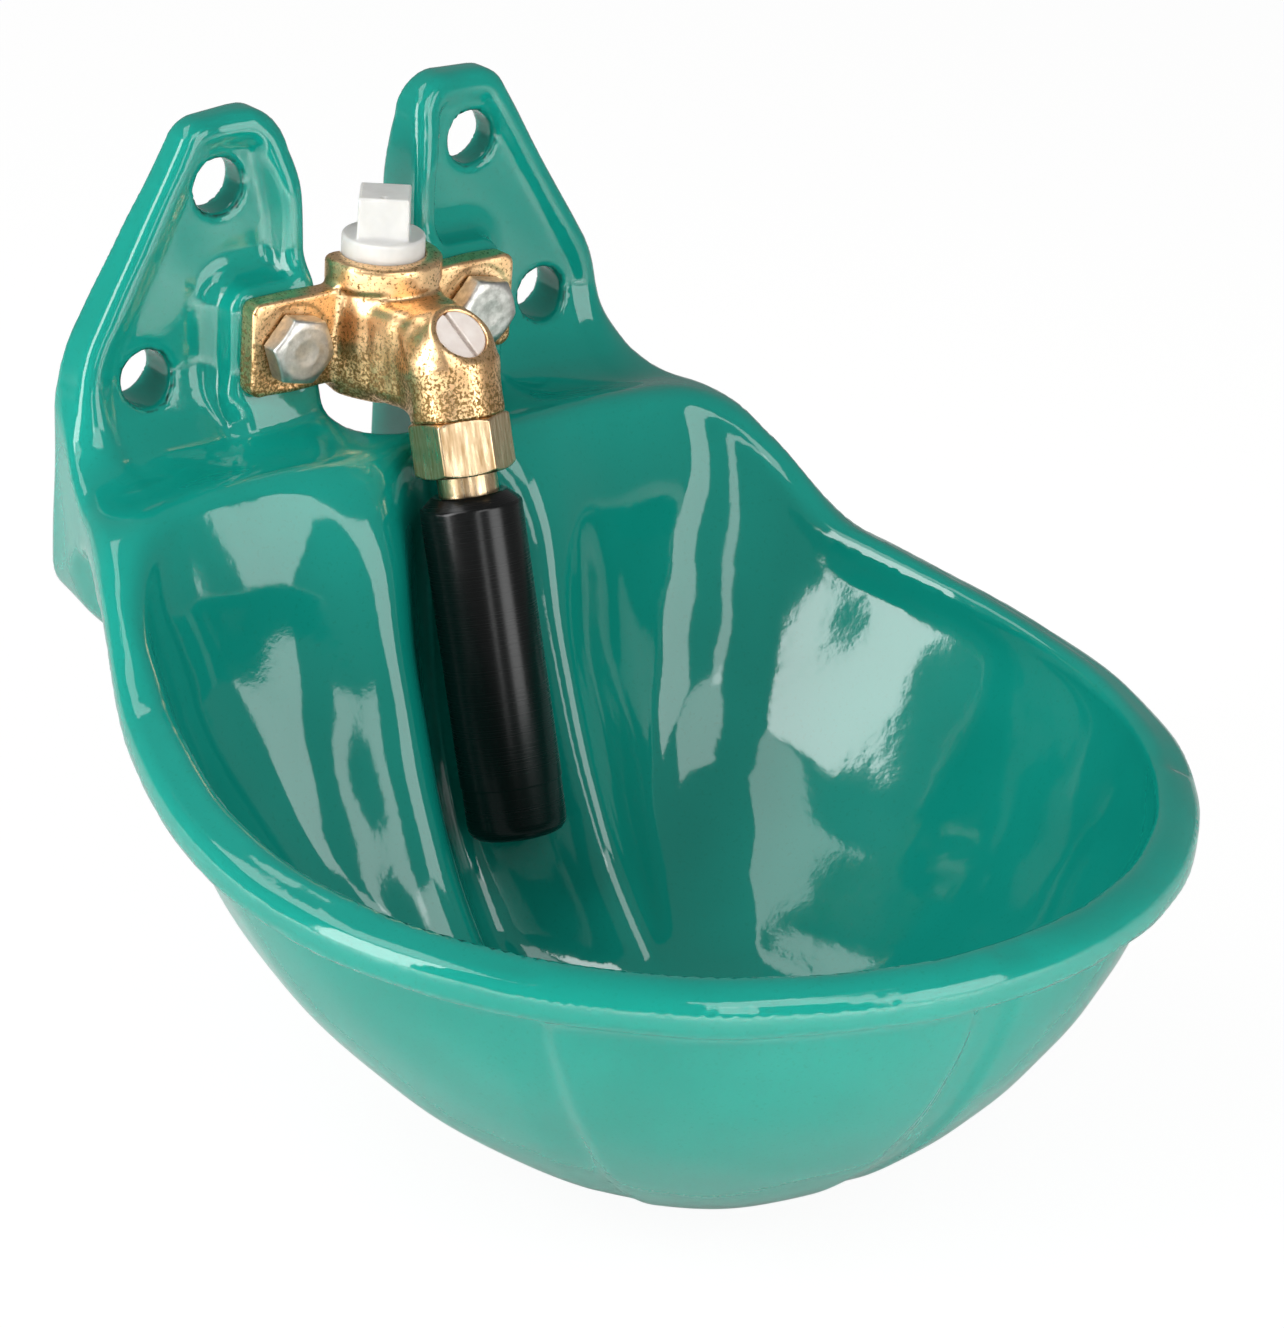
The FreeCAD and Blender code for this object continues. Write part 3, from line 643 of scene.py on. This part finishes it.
# %% Ears
def bow(a, b, c, count=7):
    # points on the arc through three points
    (ax, ay), (bx, by), (cx, cy) = a, b, c
    d = 2 * (ax * (by - cy) + bx * (cy - ay) + cx * (ay - by))
    ux = ((ax**2 + ay**2) * (by - cy) + (bx**2 + by**2) * (cy - ay) + (cx**2 + cy**2) * (ay - by)) / d
    uy = ((ax**2 + ay**2) * (cx - bx) + (bx**2 + by**2) * (ax - cx) + (cx**2 + cy**2) * (bx - ax)) / d
    start, end = np.arctan2(ay - uy, ax - ux), np.arctan2(cy - uy, cx - ux)
    turn = (end - start + pi) % (2 * pi) - pi
    r = sqrt((ax - ux) ** 2 + (ay - uy) ** 2)
    steps = np.linspace(0, 1, count)
    return [(ux + r * cos(start + turn * f), uy + r * sin(start + turn * f)) for f in steps]


EAR_OUTLINE = (
    [(EAR_INNER - 1, -95), (EAR_INNER - 1, -14)]
    + bow((EAR_INNER - 1, -14), (EAR_INNER - 0.2, -3.5), (EAR_INNER + 2.2, 7))[1:]
    + bow((EAR_INNER + 2.2, 7), (EAR_INNER + 4.6, 13.6), (EAR_INNER + 12, EAR_TOP))[1:]
    + bow((42, EAR_TOP - 0.8), (46.4, 15.4), (49.2, 11.6))
    + bow((73.2, -29), (77.6, -38), (EAR_SIDE, -50))
    + [(EAR_SIDE, -80), (74, -95)]
)
RECESS = [(24, -74), (68, -74), (66, -80), (34, -134), (24, -134)]


def ear_form(x, y, z):
    a = np.abs(x)
    outline = outline_distance(EAR_OUTLINE, a, z)
    face = -EAR_THICK + EAR_LEAN * np.minimum(z, 20)
    dish = 1.3 * soft_step(-outline, 3.6, 9.0) * soft_step(z, -84.0, -66.0)
    # the rib stands proud along the inner edge and runs out over the ear's top
    rib = (5.6 - 4.4 * soft_step(z, -4.0, 16.0)) * (1 - soft_step(-outline, 5.6, 9.6))
    rib = rib * (1 - soft_step(a, 25.0, 38.0))
    plate = within(outline, (face + dish - rib) - y, 3.6)
    pad_plan = within(np.abs(a - 28.0) - 13.2, np.abs(z + 38.6) - 15.6, 6.0)
    pad = within(within(pad_plan, PAD_FACE - y, 3.0), outline, 3.0)
    return joined(plate, pad, 6.5)


def wobble(x, y, z, size, depth, seed):
    # gentle unevenness: a few waves in fixed random directions
    rng = np.random.default_rng(seed)
    total = 0.0
    for _ in range(6):
        direction = rng.normal(size=3)
        direction *= 2 * pi / (size * rng.uniform(0.7, 1.6)) / np.linalg.norm(direction)
        total = total + np.sin(direction[0] * x + direction[1] * y + direction[2] * z + rng.uniform(0, 6.3))
    return total * depth / 2.4


# %% Bowl form
outside_raw = side_form(RIM_HALF - RIM_OVER, RIM_FRONT - RIM_OVER, RIM_Z - 5.0, DEEP - 5.0, lifted=True)
rim_raw = side_form(RIM_HALF, RIM_FRONT, -999.0, 1.0, wall_w=EAR_SIDE)


def bowl_form(x, y, z):
    side = as_distance(outside_raw, x, y, z)
    body = within(side, LOW_CUT - z, 9.0)
    top = as_distance(lambda px, py, pz: pz - top_height(px, py), x, y, z)
    edge = as_distance(lambda px, py, pz: rim_raw(px, py, pz * 0), x, y, z)
    bead = within(within(edge, top, 4.6), -top - RIM_TALL, 3.2)
    body = joined(within(body, top, 0.5), bead, 6.0)
    wall = y - back_line(z, PLAN_Y - FRONT_SHIFT * 0.8)
    body = within(body, wall, 2.0)
    body = joined(body, ear_form(x, y, z), 24.0)
    limit = np.minimum(edge, outline_distance(EAR_OUTLINE, np.abs(x), z))
    body = within(body, limit - 0.1, 1.0)
    lip = 3.2 + 1.3 / (1 + np.exp(-(y + 84.0) / 7.0))
    body = cut(body, hollow_form(x, y, z), lip)
    slot = np.where(y > PIPE_Y, np.abs(x) - PIPE_R, np.hypot(x, y - PIPE_Y) - PIPE_R)
    body = cut(body, slot, 2.5)
    body = within(body, y, 1.6)
    a = np.abs(x)
    for hx, hz in ((HOLE_TOP_X, 0.0), (HOLE_LOW_X, HOLE_LOW_Z)):
        body = cut(body, np.hypot(a - hx, z - hz) - HOLE_R, 1.2)
    depth = np.interp(z, [-134, -104, -74], [-54, -46, -36])
    recess = within(outline_distance(RECESS, a, z), depth - y, 6.0)
    body = cut(body, recess, 2.0)
    bolt = np.hypot(a - BOLT_X, z - BOLT_Z)
    body = cut(body, np.maximum(bolt - 9.6, -12.2 - y), 0.8)
    body = cut(body, bolt - 5.5, 0.8)
    body = body + wobble(x, y, z, 26.0, 0.16, 7)
    # the back stays flat on the wall, and nothing passes the ears' top or the foot
    return np.maximum(body, np.maximum(y + 0.1, np.abs(z + 93.5) - 111.4))


def graded(start, end, coarse, fine, fine_from, fine_to):
    # grid lines, closer together between fine_from and fine_to
    out = [start]
    while out[-1] < end:
        near = max(fine_from - out[-1], out[-1] - fine_to, 0.0)
        out.append(out[-1] + min(coarse, fine + near * 0.06))
    return np.array(out)


# %% Bowl skin
coarse, fine = ((2.15, 1.3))
bowl_axes = (
    graded(-130.0, 130.0, coarse * 0.85, fine * 1.1, -80.0, 80.0),
    graded(-281.0, 4.0, coarse, fine, -30.0, 4.0),
    graded(-210.0, 22.0, coarse, fine, -62.0, 22.0),
)
enamel_bowl, skin = skin_object("enamel_bowl", bowl_form, bowl_axes, finish["green_enamel"])

# %% [markdown]
# The enamel is thin and dark where it ran off the sharp edges of the wall holes. The bend of the skin is
# measured there from the same distance function and kept as an attribute, which the enamel reads.


# %% Thin enamel at the edges
def bend_of(field, points, reach):
    x, y, z = points.T
    around = -6 * field(x, y, z)
    for dx, dy, dz in ((reach, 0, 0), (0, reach, 0), (0, 0, reach)):
        around += field(x + dx, y + dy, z + dz) + field(x - dx, y - dy, z - dz)
    return around / reach**2


def keep_attribute(piece, name, values):
    layer = piece.data.attributes.new(name, "FLOAT", "POINT")
    layer.data.foreach_set("value", values.astype(np.float32))


bend = bend_of(bowl_form, skin, 0.9)
near_hole = np.full(len(skin), 1e9)
for hx, hz in ((HOLE_TOP_X, 0.0), (HOLE_LOW_X, HOLE_LOW_Z)):
    near_hole = np.minimum(near_hole, np.abs(np.hypot(np.abs(skin[:, 0]) - hx, skin[:, 2] - hz) - HOLE_R))
thin = np.clip((bend - 0.30) / 0.5, 0, 1) * (1 - soft_step(near_hole, 1.5, 4.0))
keep_attribute(enamel_bowl, "thin_enamel", thin)
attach(enamel_bowl, "bowl")
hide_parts("bowl")
print("bend of the skin per mm, middle and largest:", np.round([np.median(bend), bend.max()], 3))

# %% [markdown]
# ## The cast valve body
# One brass casting: a barrel for the pipe thread, a flange that takes two bolts, an arm and the chamber
# that the stem hangs from, with a boss for the flow screw. It gets the same kind of skin as the bowl.

# %% Valve sizes
PORT_R, BARREL_R, COLLAR_R = 10.48, 13.7, 14.7
BARREL_TOP, BARREL_LOW, COLLAR_TALL, PORT_DEEP = -18.4, -53.0, 6.6, 12.0
FLANGE_HALF, FLANGE_TOP, FLANGE_LOW, FLANGE_FRONT = 39.4, -25.0, -49.5, -27.0
STEM_TOP = (0.0, -58.6, -50.5)
STEM_LEAN = radians(18.0)
STEM_LINE = (0.0, -sin(STEM_LEAN), -cos(STEM_LEAN))
SCREW_FACE = (0.0, -58.5, -29.2)
SCREW_RISE = radians(48.8)
SCREW_LINE = (0.0, -cos(SCREW_RISE), sin(SCREW_RISE))
CHAMBER_R, BORE_R, SCREW_R, BOSS_R = 11.7, 7.0, 6.7, 8.2
RUN_GAP = 0.05


def valve_form(x, y, z):
    off = np.hypot(x, y - PIPE_Y)
    flare = 1.3 * np.exp(-(((z + 42.0) / 9.0) ** 2))
    barrel = within(off - BARREL_R - flare, np.maximum(BARREL_LOW - z, z - BARREL_TOP), 1.6)
    collar = within(off - COLLAR_R, np.maximum(BARREL_TOP - COLLAR_TALL - z, z - BARREL_TOP), 1.1)
    body = joined(barrel, collar, 1.2)
    width, tall = np.abs(x) - FLANGE_HALF, np.abs(z - (FLANGE_TOP + FLANGE_LOW) / 2)
    plate = within(width, tall - (FLANGE_TOP - FLANGE_LOW) / 2, 3.0)
    plate = within(plate, np.abs(y - (FLANGE_FRONT + PAD_FACE) / 2) - 3.0, 0.9)
    body = joined(body, plate, 2.2)
    reach = np.clip((-25.0 - y) / 26.0, 0, 1)
    half = 13.0 - 3.6 * reach**1.5
    arm = within(np.abs(x) - half, np.abs(z + 39.5 - 0.6 * reach) - 13.0, 5.0)
    arm = within(arm, np.maximum(y + 24.0, -53.0 - y), 4.0)
    body = joined(body, arm, 2.5)
    chamber = rod(x, y, z, STEM_TOP, STEM_LINE, CHAMBER_R, -13.5, 0.0, 0.5)
    knee_y, knee_z = STEM_TOP[1] - 13.5 * STEM_LINE[1], STEM_TOP[2] - 13.5 * STEM_LINE[2]
    knee = np.sqrt(x * x + (y - knee_y) ** 2 + (z - knee_z) ** 2) - CHAMBER_R
    far, aside = along_line(x, y, z, SCREW_FACE, SCREW_LINE)
    boss = within(aside - BOSS_R + np.clip(far, -8, 0) * 0.38, np.maximum(far, -9.0 - far), 0.7)
    knee = within(knee, far - 1.0, 2.0)
    body = joined(body, joined(joined(chamber, knee, 1.5), boss, 2.0), 2.5)
    body = joined(body, rod(x, y, z, STEM_TOP, STEM_LINE, 9.45, -1.0, 7.0, 0.3), 0.4)
    for side in (-1, 1):
        bolt = np.hypot(x - side * BOLT_X, z - BOLT_Z)
        body = cut(body, np.maximum(bolt - 10.6, y - FLANGE_FRONT), 0.5)
        body = cut(body, bolt - 5.5, 0.3)
    body = cut(body, off - 9.0, 0.3)
    body = cut(body, np.maximum(off - PORT_R, BARREL_TOP - PORT_DEEP - z), 0.7)
    body = cut(body, np.maximum(off - PORT_R, z - BARREL_LOW - PORT_DEEP), 0.7)
    body = cut(body, rod(x, y, z, STEM_TOP, STEM_LINE, BORE_R, -9.0, 20.0, 0.1), 0.3)
    body = cut(body, rod(x, y, z, SCREW_FACE, SCREW_LINE, SCREW_R + RUN_GAP, -5.2, 9.0, 0.1), 0.4)
    return body + wobble(x, y, z, 7.0, 0.09, 3)


cell = 0.62
valve_axes = (np.arange(-41, 41, cell), np.arange(-80, -19, cell), np.arange(-61, -16, cell))
cast_valve, _ = skin_object("cast_valve_body", valve_form, valve_axes, finish["cast_brass"], 3)
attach(cast_valve, "bowl")
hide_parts("valve_body")

# %% [markdown]
# ## Nut, bolts, plug and flow screw
# Each is drawn in its own frame: u and v across, w along its axis. Their edges carry the small bevels
# that a file, a die or a mould leaves.


# %% Frames and six-sided blanks
def local_skin(name, form, half, w_low, w_high, cell, origin, across, axis, material):
    across, axis = Vector(across).normalized(), Vector(axis).normalized()
    cell = cell * 1.0
    sides = np.arange(-half - cell, half + 2 * cell, cell)
    grid = (sides + cell * 0.13, sides + cell * 0.21, np.arange(w_low - cell, w_high + 2 * cell, cell))
    piece, points = skin_object(name, form, grid, material, 3)
    keep_attribute(piece, "along_mm", points[:, 2])
    turn = Matrix((across, axis.cross(across), axis)).transposed().to_4x4()
    piece.data.transform(Matrix.Translation(Vector(origin) * MM) @ turn)
    return piece


def six_sides(u, v, turn, flats, rounding):
    plan = None
    for i in range(3):
        a = turn + i * pi / 3
        side = np.abs(u * cos(a) + v * sin(a)) - flats / 2
        plan = side if plan is None else within(plan, side, rounding)
    return plan


def bevel(off, rise, corner, start):
    # a turned bevel of 30 degrees that starts at a height and cuts the corners
    return ((off - corner) + sqrt(3) * (rise - start)) / 2


# %% Union nut
NUT_FLATS, NUT_TALL, PIVOT, BALL_R, NUT_HOLE = 22.0, 14.0, 10.3, 8.8, 8.1
NUT_TURN = atan(cos(pi / 6) * cos(STEM_LEAN) / 0.5)


def nut_form(u, v, w):
    off = np.hypot(u, v)
    corner = NUT_FLATS / 2 / cos(pi / 6)
    body = within(six_sides(u, v, NUT_TURN, NUT_FLATS, 0.25), np.abs(w - NUT_TALL / 2) - NUT_TALL / 2, 0.2)
    body = within(body, bevel(off, w, corner - 0.1, NUT_TALL - 1.0), 0.25)
    body = within(body, bevel(off, -w, corner - 0.1, -0.9), 0.25)
    hollow = np.minimum(np.maximum(off - 9.5, w - 9.5), np.maximum(off - BALL_R - RUN_GAP, w - PIVOT))
    hollow = np.minimum(hollow, np.sqrt(off**2 + (w - PIVOT) ** 2) - BALL_R - RUN_GAP)
    return cut(body, np.minimum(hollow, off - NUT_HOLE), 0.3)


nut = local_skin(
    "turned_union_nut",
    nut_form,
    13.0,
    0.0,
    NUT_TALL,
    0.36,
    STEM_TOP,
    (1, 0, 0),
    STEM_LINE,
    finish["turned_brass"],
)
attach(nut, "bowl")
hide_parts("union_nut")

# %% Flange bolts
BOLT_FLATS, BOLT_HEAD, BOLT_LONG, THREAD_STEP = 16.0, 6.4, 24.0, 1.5


def bolt_form(u, v, w):
    off = np.hypot(u, v)
    dent = 0.10 * np.exp(-((off / 2.2) ** 2)) - 0.05 * np.exp(-(((off - 3.6) / 0.8) ** 2))
    head = within(six_sides(u, v, radians(78), BOLT_FLATS, 0.3), w - BOLT_HEAD + 0.1 + dent, 0.3)
    head = within(head, 0.4 - w, 0.15)
    head = within(head, bevel(off, w, BOLT_FLATS / 2 / cos(pi / 6) - 0.3, BOLT_HEAD - 1.0), 0.5)
    head = joined(head, np.maximum(off - 7.4, np.abs(w - 0.5) - 0.5), 0.2)
    turn = np.arctan2(v, u) / (2 * pi)
    groove = 0.4 * (0.5 - 0.5 * np.cos(2 * pi * (w / THREAD_STEP - turn))) * (w < -8.0)
    shank = within(off - 5.0 + groove, -BOLT_LONG - w, 0.9)
    return joined(head, within(shank, w - 2.0, 0.1), 0.3)


for label, side in (("left", -1), ("right", 1)):
    bolt = local_skin(
        f"hex_bolt_{label}",
        bolt_form,
        9.6,
        -BOLT_LONG,
        BOLT_HEAD,
        0.42,
        (side * BOLT_X, FLANGE_FRONT, BOLT_Z),
        (1, 0, 0),
        (0, -1, 0),
        finish["zinc_steel"],
    )
    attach(bolt, "bowl")
    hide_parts(f"flange_bolt_{label}")

# %% Plug
PLUG_SIDE, PLUG_TOP, PLUG_DISC, PLUG_LOW, PLUG_TURN = 12.8, -2.6, -13.4, -29.4, radians(-38)


def plug_form(u, v, w):
    off = np.hypot(u, v)
    disc = within(off - PORT_R + 0.08, np.maximum(w - PLUG_DISC, PLUG_LOW - w), 0.7)
    draft = 0.012 * (w - PLUG_DISC)
    head = within(np.abs(u) - PLUG_SIDE / 2 + draft, np.abs(v) - PLUG_SIDE / 2 + draft, 0.4)
    head = within(head, np.maximum(w - PLUG_TOP, PLUG_DISC - 2 - w), 0.5)
    body = joined(disc, head, 0.5)
    gate = np.sqrt(u**2 + (v + 4.6) ** 2 + (w - PLUG_TOP - 0.25) ** 2) - 0.8
    body = cut(body, gate, 0.2)
    return cut(body, np.maximum(off - 7.2, w + 18.4), 0.5)


plug = local_skin(
    "nylon_plug",
    plug_form,
    10.6,
    PLUG_LOW,
    PLUG_TOP,
    0.42,
    (0, PIPE_Y, 0),
    (cos(PLUG_TURN), sin(PLUG_TURN), 0),
    (0, 0, 1),
    finish["nylon"],
)
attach(plug, "bowl")
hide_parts("inlet_plug")

# %% Flow screw
SLOT_TURN, SLOT_HALF, SLOT_DEEP = radians(103), 0.65, 1.6


def screw_form(u, v, w):
    off = np.hypot(u, v)
    head = within(off - SCREW_R, np.maximum(w, -5.0 - w), 0.45)
    head = cut(head, np.maximum(SCREW_R - 1.5 - off, np.abs(w + 3.2) - 1.0), 0.1)
    shank = within(off - 3.5, np.maximum(w + 4.0, -9.0 - w), 0.1)
    tip = within(off - 3.5 - (w + 9.0) * 0.8, np.maximum(w + 8.5, -11.6 - w), 0.2)
    body = np.minimum(np.minimum(head, shank), tip)
    aside = np.abs(v * cos(SLOT_TURN) - u * sin(SLOT_TURN)) - SLOT_HALF
    return cut(body, np.maximum(aside, -SLOT_DEEP - w), 0.15)


screw = local_skin(
    "slotted_flow_screw",
    screw_form,
    6.8,
    -11.6,
    0.0,
    0.26,
    SCREW_FACE,
    (1, 0, 0),
    SCREW_LINE,
    finish["screw_plastic"],
)
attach(screw, "flow_screw")
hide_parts("flow_screw")

# %% [markdown]
# ## Turned pieces
# The tube and the sleeve come from a lathe; the sleeve is drawn here as a profile turned about its axis. A
# Geometry Nodes
# group does the turning: it lays a grid, one row per profile point and one column per step round, and
# moves each grid point to its place on the circle. It also keeps the height of each point, which the
# material needs for the fine rings that the tool leaves.


# %% Turning group
def turning_group():
    group = bpy.data.node_groups.new("turned_part", "GeometryNodeTree")
    for name, kind in (("Profile", "Geometry"), ("Steps Round", "Int"), ("Material", "Material")):
        group.interface.new_socket(name, in_out="INPUT", socket_type="NodeSocket" + kind)
    group.interface.new_socket("Part", in_out="OUTPUT", socket_type="NodeSocketGeometry")
    given = add(group, "NodeGroupInput").outputs

    def number(operation, a, b=0.0):
        return add(group, "ShaderNodeMath", {0: a, 1: b}, operation=operation).outputs[0]

    size = add(group, "GeometryNodeAttributeDomainSize", {"Geometry": given["Profile"]})
    rows = size.outputs["Point Count"]
    columns = number("ADD", given["Steps Round"], 1.0)
    grid = add(group, "GeometryNodeMeshGrid", {"Vertices X": columns, "Vertices Y": rows}).outputs["Mesh"]
    index = add(group, "GeometryNodeInputIndex").outputs[0]
    row = number("MODULO", index, rows)
    column = number("FLOOR", number("DIVIDE", number("ADD", index, 0.5), rows))
    place = add(group, "GeometryNodeInputPosition").outputs[0]
    sample = add(
        group,
        "GeometryNodeSampleIndex",
        {"Geometry": given["Profile"], "Value": place, "Index": row},
        data_type="FLOAT_VECTOR",
    )
    point = add(group, "ShaderNodeSeparateXYZ", {0: sample.outputs[0]}).outputs
    angle = number("MULTIPLY", number("DIVIDE", column, given["Steps Round"]), 2 * pi)
    x = number("MULTIPLY", point["X"], number("COSINE", angle))
    y = number("MULTIPLY", point["X"], number("SINE", angle))
    target = add(group, "ShaderNodeCombineXYZ", {"X": x, "Y": y, "Z": point["Z"]}).outputs[0]
    moved = add(group, "GeometryNodeSetPosition", {"Geometry": grid, "Position": target}).outputs[0]
    closed = add(group, "GeometryNodeMergeByDistance", {"Geometry": moved, "Distance": 1e-6}).outputs[0]
    height = add(group, "ShaderNodeSeparateXYZ", {0: place}).outputs["Z"]
    kept = add(
        group,
        "GeometryNodeStoreNamedAttribute",
        {"Geometry": closed, "Name": "along_mm", "Value": number("DIVIDE", height, MM)},
        data_type="FLOAT",
        domain="POINT",
    )
    smooth = add(group, "GeometryNodeSetShadeSmooth", {"Geometry": kept.outputs[0]}).outputs[0]
    whole = add(group, "GeometryNodeRealizeInstances", {"Geometry": smooth}).outputs[0]
    dressed = add(group, "GeometryNodeSetMaterial", {"Geometry": whole, "Material": given["Material"]})
    add(group, "NodeGroupOutput", {"Part": dressed.outputs[0]})
    return group


def soft_profile(corners, steps=5):
    # a closed outline whose corners are (radius, height, rounding)
    points = []
    for i, (r, h, soft) in enumerate(corners):
        here = Vector((r, 0, h))
        sides = [Vector((c[0], 0, c[1])) - here for c in (corners[i - 1], corners[(i + 1) % len(corners)])]
        before, after = (here + d.normalized() * min(soft, d.length * 0.45) for d in sides)
        for n in range(steps + 1):
            f = n / steps
            points.append(before * (1 - f) ** 2 + here * 2 * f * (1 - f) + after * f**2)
    return points


turning = turning_group()


def turned_piece(name, corners, steps_round, origin, axis, material):
    outline = soft_profile(corners)
    mesh = bpy.data.meshes.new(name + "_profile")
    mesh.from_pydata([p * MM for p in outline + outline[:1]], [(i, i + 1) for i in range(len(outline))], [])
    maker = bpy.data.objects.new(name + "_profile", mesh)
    bpy.context.collection.objects.link(maker)
    modifier = maker.modifiers.new("turned_part", "NODES")
    modifier.node_group = turning
    for item in turning.interface.items_tree:
        if item.name == "Steps Round":
            modifier[item.identifier] = steps_round
        if item.name == "Material":
            modifier[item.identifier] = material
    maker.update_tag()
    bpy.context.view_layer.update()
    graph = bpy.context.evaluated_depsgraph_get()
    solved = maker.evaluated_get(graph)
    turned = bpy.data.meshes.new_from_object(solved, preserve_all_data_layers=True, depsgraph=graph)
    bpy.data.objects.remove(maker)
    axis = Vector(axis).normalized()
    across = Vector((1, 0, 0))
    turn = Matrix((across, axis.cross(across), axis)).transposed().to_4x4()
    turned.transform(Matrix.Translation(Vector(origin) * MM) @ turn)
    turned.name = name
    piece = bpy.data.objects.new(name, turned)
    bpy.context.collection.objects.link(piece)
    print(name, "points", len(turned.vertices), "faces", len(turned.polygons))
    return piece


# %% Sleeve, bored for the tube
SLEEVE_R, SLEEVE_TOP, SLEEVE_STEP, SLEEVE_END = 12.75, 19.0, 92.0, 105.5
TUBE_R, TUBE_BORE = 7.5, 5.0
sleeve = turned_piece(
    "turned_sleeve",
    [
        (TUBE_R, SLEEVE_TOP, 0.2),
        (SLEEVE_R - 3.3, SLEEVE_TOP, 0.5),
        (SLEEVE_R, SLEEVE_TOP + 3.1, 0.7),
        (SLEEVE_R, SLEEVE_STEP, 0.15),
        (SLEEVE_R - 0.25, SLEEVE_STEP + 0.1, 0.1),
        (SLEEVE_R - 0.25, SLEEVE_END, 4.2),
        (TUBE_BORE, SLEEVE_END, 0.8),
        (TUBE_BORE, SLEEVE_TOP + 23.0, 0.2),
        (TUBE_R, SLEEVE_TOP + 23.0, 0.2),
    ],
    128,
    STEM_TOP,
    STEM_LINE,
    finish["black_plastic"],
)
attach(sleeve, "stem")
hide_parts("nozzle_sleeve")

# %% [markdown]
# ## Floor and light
# The floor is matt and pale, and the camera sees it as plain white with a trace of shadow. The air is
# white for the camera too and gives little light: that comes from soft boxes, as in a studio.


# %% Floor and lights
def white_for_camera(name, colour, glow):
    material = bpy.data.materials.new(name)
    material.use_nodes = True
    tree = material.node_tree
    tree.nodes.clear()
    # the camera sees nine parts plain white and one part lit floor, which keeps a faint shadow
    camera_ray = add(tree, "ShaderNodeLightPath").outputs["Is Camera Ray"]
    seen = add(tree, "ShaderNodeMath", {0: camera_ray, 1: 0.9}, operation="MULTIPLY")
    diffuse = add(tree, "ShaderNodeBsdfDiffuse", {"Color": linear(colour)})
    light = add(tree, "ShaderNodeEmission", {"Color": (1, 1, 1, 1), "Strength": glow})
    both = add(tree, "ShaderNodeMixShader", {0: seen.outputs[0], 1: diffuse.outputs[0], 2: light.outputs[0]})
    add(tree, "ShaderNodeOutputMaterial", {"Surface": both.outputs[0]})
    return material


FLOOR_Z, FLOOR_SPAN = cad_box[0].z - 0.002, 6.0
FLOOR_WHITE, AIR_GLOW = 1.04, 0.25
floor_mesh = bpy.data.meshes.new("floor")
corners = [(x * FLOOR_SPAN, y * FLOOR_SPAN, FLOOR_Z) for x, y in ((-1, -1), (1, -1), (1, 1), (-1, 1))]
floor_mesh.from_pydata(corners, [], [(0, 1, 2, 3)])
floor_mesh.materials.append(white_for_camera("studio floor, white", "#F4F4F2", FLOOR_WHITE))
floor = bpy.data.objects.new("floor", floor_mesh)
bpy.context.collection.objects.link(floor)

world = bpy.data.worlds.new("studio air")
world.use_nodes = True
bpy.context.scene.world = world
sky = world.node_tree
sky.nodes.clear()
seen = add(sky, "ShaderNodeLightPath").outputs["Is Camera Ray"]
strength = add(sky, "ShaderNodeMapRange", {"Value": seen, "To Min": AIR_GLOW, "To Max": 1.0}).outputs[0]
background = add(sky, "ShaderNodeBackground", {"Color": (1, 1, 1, 1), "Strength": strength})
add(sky, "ShaderNodeOutputWorld", {"Surface": background.outputs[0]})


def soft_box(name, place, aim, width, height, power):
    lamp = bpy.data.lights.new(name, "AREA")
    lamp.shape = "RECTANGLE"
    lamp.size, lamp.size_y = width, height
    lamp.energy = power
    thing = bpy.data.objects.new(name, lamp)
    bpy.context.collection.objects.link(thing)
    thing.location = place
    thing.rotation_mode = "QUATERNION"
    thing.rotation_quaternion = (Vector(aim) - Vector(place)).to_track_quat("-Z", "Y")
    return thing


def light_from(name, turn, rise, far, wide, tall, glow):
    # a soft box seen from the bowl at a turn and a rise, as wide and tall as given in degrees
    turn, rise = radians(turn), radians(rise)
    middle = Vector((0.0, -0.14, -0.11))
    place = middle + far * Vector((sin(turn) * cos(rise), -cos(turn) * cos(rise), sin(rise)))
    width, height = 2 * far * tan(radians(wide / 2)), 2 * far * tan(radians(tall / 2))
    soft_box(name, place, middle, width, height, glow * width * height * pi)


# %% [markdown]
# The lamps stand where the enamel in the photograph mirrors them: a tall bright box on the left, a wide
# one above the front, a tall one in front with a strip beside it, and one high at the back.

# %% Soft boxes
light_from("tall_box_left", -100, 15, 1.3, 19, 56, 9.0)
light_from("wide_box_front", -9, 47, 1.3, 28, 20, 3.8)
light_from("tall_box_front", 17, 12, 1.5, 27, 48, 4.2)
light_from("strip_beside_camera", -24, 23, 1.6, 8, 34, 4.0)
light_from("box_high_back", -125, 57, 1.3, 52, 18, 3.0)

# %% [markdown]
# Two more boxes hang low over the floor and shine straight down, so the floor is bright from below. The
# outside of the bowl and the faces of the ears get their pale, even light from it.

# %% Floor lamps
for name, place, width, depth, power in (
    ("floor_box_front", (-0.20, -0.78, 0.45), 1.1, 0.5, 7.6),
    ("floor_box_left", (-0.78, -0.10, 0.45), 0.5, 1.0, 5.5),
):
    lamp = soft_box(name, place, (place[0], place[1], -1.0), width, depth, power)
    lamp.data.spread = radians(60)
bpy.context.scene.view_settings.view_transform = "Standard"
